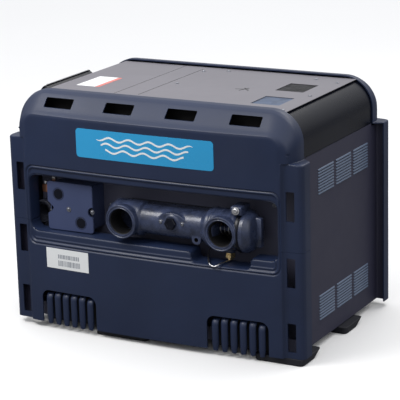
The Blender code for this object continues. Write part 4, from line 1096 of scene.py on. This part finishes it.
def make_header_fittings():
    axis = (HEADER_Y, HEADER_Z)
    cap = [(0.0420, 0.2380), (0.0420, 0.2403), (0.0485, 0.2403), (0.0500, 0.2412), (0.0500, 0.2490),
           (0.0492, 0.2500), (0.0470, 0.2520), (0.0430, 0.2590), (0.0380, 0.2640), (0.0300, 0.2672),
           (0.0200, 0.2680)]
    made = turned("header_end_cover", cap, axis, "X", "header")
    grip = block("cap_grip", (0.2560, HEADER_Y - 0.0075, HEADER_Z - 0.0345),
                 (0.2800, HEADER_Y + 0.0075, HEADER_Z + 0.0345), "header", None, 0.0035)
    joined(made, [grip])
    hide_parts("header_end_cap")
    bolts = [(0.2290 - 0.0006, HEADER_Y + 0.0475 * math.cos(t), HEADER_Z + 0.0475 * math.sin(t))
             for t in (1.95, 2.75, 3.6, 4.5)]
    screw_set("flange_bolts", bolts, (-1, 0, 0), 0.0036)
    clamp = turned("flange_clamp", [(0.0503, 0.2300), (0.0503, 0.2390), (0.0497, 0.2400), (0.0497, 0.2290)],
                   axis, "X", "trim", closed=True)

    plug = [(0.0150, deep(-0.0103)), (0.0150, deep(-0.0160)), (0.0136, deep(-0.0180)),
            (0.0080, deep(-0.0180)), (0.0074, deep(-0.0172)), (0.0030, deep(-0.0172))]
    made = turned("drain_plug", plug, (0.062, 0.307), "Y", "trim", segments=6, smooth=25)
    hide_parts("header_plug")
    screw_set("plug_flange_screws", [(0.0335, deep(-0.0062), 0.3070), (0.0905, deep(-0.0062), 0.3070)],
              (0, -1, 0), 0.0042)

    fitting = [(0.0105, 0.2442), (0.0105, 0.2395), (0.0075, 0.2388), (0.0075, 0.2362), (0.0100, 0.2355),
               (0.0104, 0.2345), (0.0104, 0.2320), (0.0100, 0.2310), (0.0062, 0.2300), (0.0060, 0.2275)]
    made = turned("compression_fitting", fitting, (0.196, HEADER_Y), "Z", "brass", segments=6, smooth=25)
    collar = turned("fitting_nut", [(0.0118, 0.2330), (0.0124, 0.2340), (0.0124, 0.2400), (0.0116, 0.2410)],
                    (0.196, HEADER_Y), "Z", "brass", None, 6, smooth=25)
    joined(made, [collar])
    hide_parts("brass_fitting")
    knots = [(0.196, deep(0.027), 0.2269), (0.196, deep(0.0268), 0.2258), (0.1955, deep(0.0235), 0.2251),
             (0.193, deep(0.014), 0.2250), (0.1895, deep(0.000), 0.2250), (0.1865, deep(-0.0100), 0.2248),
             (0.1830, deep(-0.0162), 0.2222), (0.1770, deep(-0.0178), 0.2200),
             (0.1690, deep(-0.0170), 0.2212), (0.1610, deep(-0.0125), 0.2246),
             (0.1540, deep(-0.002), 0.2256), (0.1440, deep(0.015), 0.2275),
             (0.1330, deep(0.038), 0.2320), (0.127, deep(0.058), 0.2370), (0.125, deep(0.072), 0.2400),
             (0.125, deep(0.0897), 0.2400)]
    made = pipe("sensing_tube", smooth_path(knots), 0.0020, "steel")
    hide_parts("pressure_tube")


def make_box():
    """Junction box: cover with knockouts, notches and screws, over its shell."""
    outline = rounded(-0.292, -0.165, 0.2475, 0.3665, 0.007, 6)
    front, back = deep(0.0150), deep(0.0197)
    inset = rounded(-0.2906, -0.1664, 0.2489, 0.3651, 0.0062, 6)
    cover = loft("box_cover_plate", [on_axis(inset, "Y", front), on_axis(outline, "Y", front + 0.0014),
                                     on_axis(outline, "Y", back), on_axis(inset, "Y", back + 0.0001)],
                 "box", None)
    notch = circle(-0.1665, 0.300, 0.0125, 40)
    wedge = [(-0.30, 0.325), (-0.30, 0.279), (-0.2765, 0.2985), (-0.2750, 0.302), (-0.2765, 0.3055)]
    boolean(cover, cutters("cover_notch", [notch, wedge], "Y", deep(0.0), deep(0.04)))
    for x, z in ((-0.2600, 0.337), (-0.1995, 0.271)):
        groove = [(0.0155, deep(0.0136)), (0.0155, deep(0.0166)), (0.0142, deep(0.0166)),
                  (0.0142, deep(0.0136))]
        ring = turned("knockout_ring", groove, (x, z), "Y", "black", None, 40, closed=True)
        boolean(cover, ring)
        face = [(0.0138, deep(0.0195)), (0.0138, deep(0.0158)), (0.0128, deep(0.0148)),
                (0.0040, deep(0.0146))]
        disc = turned("knockout_disc", face, (x, z), "Y", "trim", None, 40)
        joined(cover, [disc])
    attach(cover, MAIN)
    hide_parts("junction_box_cover")
    places = [(-0.1705, deep(0.0215), 0.300), (-0.2320, deep(0.0150), 0.3020)]
    screw_set("box_screws", places, (0, -1, 0), 0.0040)
    dimple = turned("cover_dimple", [(0.0022, deep(0.0150)), (0.0020, deep(0.0138)), (0.0008, deep(0.0134))],
                    (-0.2820, 0.2965), "Y", "screw", segments=20)

    outer = rounded(-0.286, -0.171, 0.253, 0.361, 0.005, 5)
    inner = rounded(-0.284, -0.173, 0.255, 0.359, 0.004, 5)
    back = deep(0.0777)
    loops = [on_axis(outer, "Y", back), on_axis(outer, "Y", deep(0.0200)),
             on_axis(inner, "Y", deep(0.0200)), on_axis(inner, "Y", back - 0.002)]
    shell = loft("box_shell", loops, "box", None)
    boolean(shell, cutters("conduit_cutter", [circle(-0.2285, deep(0.050), 0.011, 32)], "Z", 0.245, 0.257))
    relief = [circle(-0.1665, 0.300, 0.0125, 32)]
    boolean(shell, cutters("screw_relief", relief, "Y", deep(0.019), deep(0.0225)))
    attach(shell, MAIN)
    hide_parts("junction_box")


def make_grommet():
    x, z = -0.325, 0.280
    profile = [(0.0275, deep(0.0777)), (0.0275, deep(0.0428)), (0.0268, deep(0.0420)), (0.0250, deep(0.0420))]
    for index in range(4):
        outer = 0.0245 - 0.0026 * index
        level = 0.0424 + 0.0026 * index
        profile += [(outer, deep(level + 0.0022)), (outer - 0.0009, deep(level + 0.0022)),
                    (outer - 0.0014, deep(level + 0.0002)), (outer - 0.0020, deep(level + 0.0002))]
    profile += [(0.0145, deep(0.0680)), (0.0145, deep(0.0815)), (0.0235, deep(0.0815)),
                (0.0235, deep(0.0777))]
    made = turned("ribbed_grommet", profile, (x, z), "Y", "rubber", closed=True, segments=56, smooth=50)
    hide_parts("gas_grommet")


def make_lug():
    made = block("earth_lug", (-0.322, deep(0.0400), 0.330), (-0.302, deep(0.0777), 0.350), "copper", None,
                 0.0012)
    hole = turned("lug_wire_hole", [(0.0035, -0.33), (0.0035, -0.29)], (deep(0.066), 0.3375), "X", "black",
                  None, 24)
    boolean(made, hole)
    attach(made, MAIN)
    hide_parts("bonding_lug")
    bolt = turned("lug_bolt", [(0.0045, 0.3500), (0.0060, 0.3505), (0.0060, 0.3560), (0.0052, 0.3572),
                               (0.0020, 0.3572)], (-0.315, deep(0.0470)), "Z", "steel", segments=20)
    strap = block("lug_strap", (-0.3140, deep(0.0700), 0.3500), (-0.3040, deep(0.0777), 0.3620), "steel",
                  None, 0.0015)
    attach(strap, MAIN)


PLATE_SCREWS = ((-0.128, 0.365), (-0.093, 0.367), (-0.153, 0.305), (-0.096, 0.250), (-0.142, 0.252),
                (0.150, 0.366), (0.285, 0.352), (0.050, 0.252))


def make_back_plate():
    NODES["recess_back_plate"].data.materials.clear()
    NODES["recess_back_plate"].data.materials.append(MATERIALS["dark"])
    places = [(x, deep(0.0780), z) for x, z in PLATE_SCREWS]
    screw_set("plate_screws", places, (0, -1, 0), 0.0036)
    screw_set("header_bolts", [(0.232, deep(-0.012), 0.3560)], (0.1, -1, 0.2), 0.0058, "steel")
    bracket = block("bolt_bracket", (0.216, deep(-0.008), 0.3445), (0.2440, deep(0.040), 0.3640), "header",
                    None, 0.003)
    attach(bracket, MAIN)


# ---------------------------------------------------------------- labels

def label_patch(name, outline_of, columns, rows, offset, look):
    """A thin sticker that follows the near face; outline_of(x) gives its lowest and highest z."""
    points, faces = [], []
    sunk = 0.0001
    for lift in (offset, -sunk):
        for x in columns:
            low, high = outline_of(x)
            for k in range(rows + 1):
                points.append((x, NEAR_Y - crown(x) - lift, low + (high - low) * k / rows))
    width = rows + 1
    count = len(columns) * width
    for i in range(len(columns) - 1):
        for k in range(rows):
            a = i * width + k
            faces.append((a, a + 1, a + 1 + width, a + width))
            b = a + count
            faces.append((b, b + width, b + 1 + width, b + 1))
    rim = [i * width for i in range(len(columns))]
    rim += [(len(columns) - 1) * width + k for k in range(1, width)]
    rim += [i * width + rows for i in range(len(columns) - 2, -1, -1)]
    rim += [k for k in range(rows - 1, 0, -1)]
    for a, b in zip(rim, rim[1:] + rim[:1]):
        faces.append((a, b, b + count, a + count))
    made = piece(name, points, faces, look, MAIN, 30)
    return made


def rounded_span(x0, x1, z0, z1, radius):
    def span(x):
        edge = min(x - x0, x1 - x)
        drop = 0.0
        if edge < radius:
            drop = radius - math.sqrt(max(radius ** 2 - (radius - edge) ** 2, 0.0))
        return z0 + drop, z1 - drop
    return span


def label_columns(x0, x1, radius, count=24):
    turns = [math.pi / 2 * k / 8 for k in range(8)]
    starts = [x0 + radius * (1 - math.cos(turn)) for turn in turns]
    middle = list(np.linspace(x0 + radius, x1 - radius, count))
    return [*starts, *middle, *[x0 + x1 - x for x in reversed(starts)]]


def make_labels():
    x0, x1, z0, z1, radius = -0.185, 0.179, 0.443, 0.512, 0.0085
    label_patch("maker_plate", rounded_span(x0, x1, z0, z1, radius), label_columns(x0, x1, radius), 4, 0.0008,
                "blue")
    for index, level in enumerate((0.492, 0.4780, 0.4640)):
        columns = list(np.linspace(-0.128 + 0.012 * index, 0.128 - 0.012 * index, 60))

        def wave(x, middle=level, shift=index * 0.9):
            centre = middle + 0.0042 * math.sin(x * 118 + shift)
            ease = min(1.0, (0.128 - abs(x)) / 0.02 + 0.15)
            return centre - 0.0022 * ease, centre + 0.0022 * ease
        label_patch(f"plate_wave_{index + 1}", wave, columns, 2, 0.0011, "white")
    x0, x1, z0, z1 = -0.287, -0.166, 0.158, 0.208
    label_patch("service_sticker", lambda x: (z0, z1), list(np.linspace(x0, x1, 8)), 3, 0.0006, "white")
    generator = np.random.default_rng(4)
    bars = []
    for row, (low, high, look) in enumerate(((0.184, 0.194, "grey_ink"), (0.1655, 0.179, "grey_ink"))):
        x = -0.253
        index = 0
        while x < -0.192:
            width = float(generator.choice([0.0011, 0.0018, 0.0028]))
            bars.append(label_patch(f"bar_{row}_{index}", lambda _, a=low, b=high: (a, b), [x, x + width], 1,
                                    0.0009, look))
            x += width + float(generator.choice([0.0012, 0.0020]))
            index += 1
    made = joined(bars[0], bars[1:])
    made.name = "sticker_bars"


# ---------------------------------------------------------------- feet, controls and inner parts

FEET = ("foot_near_right", "foot_near_left", "foot_right_side", "foot_far_left", "foot_far_right",
        "foot_left_side")


def soften_node(name, look, width=0.0008, segments=2, angle=35):
    """A CAD node keeps its shape and gets a finish and softened edges."""
    node = NODES[name]
    node.data.materials.clear()
    node.data.materials.append(MATERIALS[look])
    weld = node.modifiers.new("Weld", "WELD")
    weld.merge_threshold = 0.00002
    bevel = node.modifiers.new("Soft edges", "BEVEL")
    bevel.width = width
    bevel.segments = segments
    bevel.limit_method = "ANGLE"
    bevel.angle_limit = math.radians(angle)
    bevel.harden_normals = False


INNER = {
    # The base pan gets the dark recess paint instead of zinc, as painted shade, so the gaps under the grilles
    # read black.
    "top_cover": ("top", 0.0004), "left_top_sheet": ("top", 0.0004), "base_pan": ("dark", 0.0006),
    "control_bezel": ("trim", 0.0008), "control_lid": ("trim", 0.0008), "display_lens": ("lens", 0.0003),
    **{f"button_{key}": ("rubber", 0.0004) for key in ("mode", "set", "down", "up")},
    "lid_hinge_pin": ("steel", 0.0001), "gas_valve_knob": ("rubber", 0.0006),
    "header_gasket": ("rubber", 0.0003), "gas_valve": ("zinc", 0.0008),
    "combustion_chamber": ("zinc", 0.0008),
    "flue_collector": ("zinc", 0.0006), "blower_housing": ("zinc", 0.0006),
    "bypass_poppet": ("header", 0.0004), "gas_supply_tube": ("steel", 0.0),
    "burner_manifold": ("steel", 0.0004),
    "igniter": ("steel", 0.0002), "blower_impeller": ("steel", 0.0002), "control_board": ("board", 0.0003),
    "transformer": ("iron", 0.0008), "gas_inlet_pipe": ("iron", 0.0008), "blower_motor": ("iron", 0.0008),
    "pressure_switch": ("header", 0.0006), "far_header": ("header", 0.0012),
    "heat_exchanger": ("copper", 0.0003),
    **{f"burner_{number}": ("steel", 0.0004) for number in (1, 2, 3, 4)}}


def make_spring():
    """Coil that the poppet pushes on, from the poppet to its fixed end."""
    low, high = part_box("bypass_spring")
    y, z = (low[1] + high[1]) / 2, (low[2] + high[2]) / 2
    wire, turns, steps = 0.0009, 6, 14
    radius, length = (high[2] - low[2]) / 2 - wire, high[0] - low[0]
    route = []
    for step in range(turns * steps + 1):
        angle = math.tau * step / steps
        x = low[0] + wire + (length - 2 * wire) * step / (turns * steps)
        route.append(Vector((x, y + radius * math.cos(angle), z + radius * math.sin(angle))))
    coil = pipe("bypass_coil", route, wire, "steel", sides=8)
    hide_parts("bypass_spring")
    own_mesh(coil)


def make_carried():
    for name in FEET:
        soften_node(name, "foot", 0.0015, 3)
    for name, (look, width) in INNER.items():
        if width > 0:
            soften_node(name, look, width)
        else:
            NODES[name].data.materials.clear()
            NODES[name].data.materials.append(MATERIALS[look])


# ---------------------------------------------------------------- stage

SKY_HORIZON, SKY_TOP = 0.20, 1.25

def aim(thing, target):
    run = Vector(target) - thing.location
    thing.rotation_euler = run.to_track_quat("-Z", "Y").to_euler()


def soft_light(name, place, target, size, power, colour=(1, 1, 1)):
    data = bpy.data.lights.new(name, "AREA")
    data.shape = "RECTANGLE"
    data.size, data.size_y = size
    data.energy = power
    data.color = colour
    lamp = bpy.data.objects.new(name, data)
    bpy.context.scene.collection.objects.link(lamp)
    lamp.location = place
    lamp.visible_camera = False
    aim(lamp, target)
    return lamp


def seen_or_lit(finish, bounce=0.14):
    """Pale to the camera, but giving back less light than it shows, as a far studio floor does."""
    tree = finish.tree
    pale = finish.surface.inputs["Base Color"].links[0].from_socket
    path = tree.nodes.new("ShaderNodeLightPath")
    mix = tree.nodes.new("ShaderNodeMix")
    mix.data_type = "RGBA"
    mix.inputs["A"].default_value = (bounce, bounce, bounce, 1)
    tree.links.new(path.outputs["Is Camera Ray"], mix.inputs["Factor"])
    tree.links.new(pale, mix.inputs["B"])
    tree.links.new(mix.outputs["Result"], finish.surface.inputs["Base Color"])


def make_sky():
    """White to the camera; as a light, a soft box overhead that fades towards the horizon."""
    world = bpy.data.worlds.new("studio")
    bpy.context.scene.world = world
    world.use_nodes = True
    tree = world.node_tree
    seen = tree.nodes["Background"]
    seen.inputs["Color"].default_value = (1.0, 1.0, 1.0, 1)
    seen.inputs["Strength"].default_value = 1.0
    lit = tree.nodes.new("ShaderNodeBackground")
    lit.inputs["Color"].default_value = (0.97, 0.98, 1.0, 1)
    place = tree.nodes.new("ShaderNodeTexCoord")
    parts = tree.nodes.new("ShaderNodeSeparateXYZ")
    fade = tree.nodes.new("ShaderNodeMapRange")
    fade.inputs["From Min"].default_value = 0.0
    fade.inputs["From Max"].default_value = 0.75
    fade.inputs["To Min"].default_value = SKY_HORIZON
    fade.inputs["To Max"].default_value = SKY_TOP
    path = tree.nodes.new("ShaderNodeLightPath")
    mix = tree.nodes.new("ShaderNodeMixShader")
    tree.links.new(place.outputs["Generated"], parts.inputs["Vector"])
    tree.links.new(parts.outputs["Z"], fade.inputs["Value"])
    tree.links.new(fade.outputs["Result"], lit.inputs["Strength"])
    tree.links.new(path.outputs["Is Camera Ray"], mix.inputs["Fac"])
    tree.links.new(lit.outputs["Background"], mix.inputs[1])
    tree.links.new(seen.outputs["Background"], mix.inputs[2])
    tree.links.new(mix.outputs["Shader"], tree.nodes["World Output"].inputs["Surface"])


def make_stage():
    floor = bpy.data.meshes.new("studio_floor")
    reach = 30.0
    floor.from_pydata([(-reach, -reach, 0), (reach, -reach, 0), (reach, reach, 0), (-reach, reach, 0)], [],
                      [(0, 1, 2, 3)])
    floor_object = bpy.data.objects.new("studio_floor", floor)
    bpy.context.scene.collection.objects.link(floor_object)
    finish = Shader("studio_floor", (0.90, 0.90, 0.90), 0.75)
    finish.colours(finish.noise(0.6, 2), (0.89, 0.89, 0.89), (0.91, 0.91, 0.91))
    seen_or_lit(finish)
    floor.materials.append(finish.material)
    make_sky()

    middle = (0, 0, 0.3)
    soft_light("key_light", (-0.6, -1.05, 1.5), middle, (1.0, 0.5), 15, (1.0, 0.98, 0.96))
    soft_light("fill_light", (2.8, -1.4, 1.6), middle, (1.6, 1.6), 5, (0.93, 0.96, 1.0))
    soft_light("top_light", (0.9, 1.6, 2.6), middle, (2.4, 1.0), 26, (1.0, 0.97, 0.94))


CAMERA_PLACE = (2.0731, -3.7501, 1.472)
CAMERA_AZIMUTH, CAMERA_ELEVATION, CAMERA_ROLL = 28.97, 15.416, -1.627
CAMERA_LENS = 164.1


def make_camera():
    azimuth, elevation, roll = (math.radians(v) for v in (CAMERA_AZIMUTH, CAMERA_ELEVATION, CAMERA_ROLL))
    back = Vector((math.sin(azimuth) * math.cos(elevation), -math.cos(azimuth) * math.cos(elevation),
                   math.sin(elevation)))
    right = Vector((math.cos(azimuth), math.sin(azimuth), 0))
    up = back.cross(right)
    right, up = (math.cos(roll) * right + math.sin(roll) * up, math.cos(roll) * up - math.sin(roll) * right)
    data = bpy.data.cameras.new("studio_camera")
    data.lens = CAMERA_LENS
    data.sensor_width = 36.0
    data.clip_start, data.clip_end = 0.05, 100
    camera = bpy.data.objects.new("studio_camera", data)
    bpy.context.scene.collection.objects.link(camera)
    turn = Matrix((right, up, back)).transposed().to_4x4()
    camera.matrix_world = Matrix.Translation(Vector(CAMERA_PLACE)) @ turn
    bpy.context.scene.camera = camera


make_camera()
make_end(False)
make_end(True)
make_recess_lip()
make_band_shade_strips()
make_sides()
make_shoulders()
make_top()
make_header()
make_header_fittings()
make_box()
make_grommet()
make_lug()
make_back_plate()
make_labels()
make_spring()
make_carried()
make_stage()
bpy.context.scene.view_settings.view_transform = "Standard"
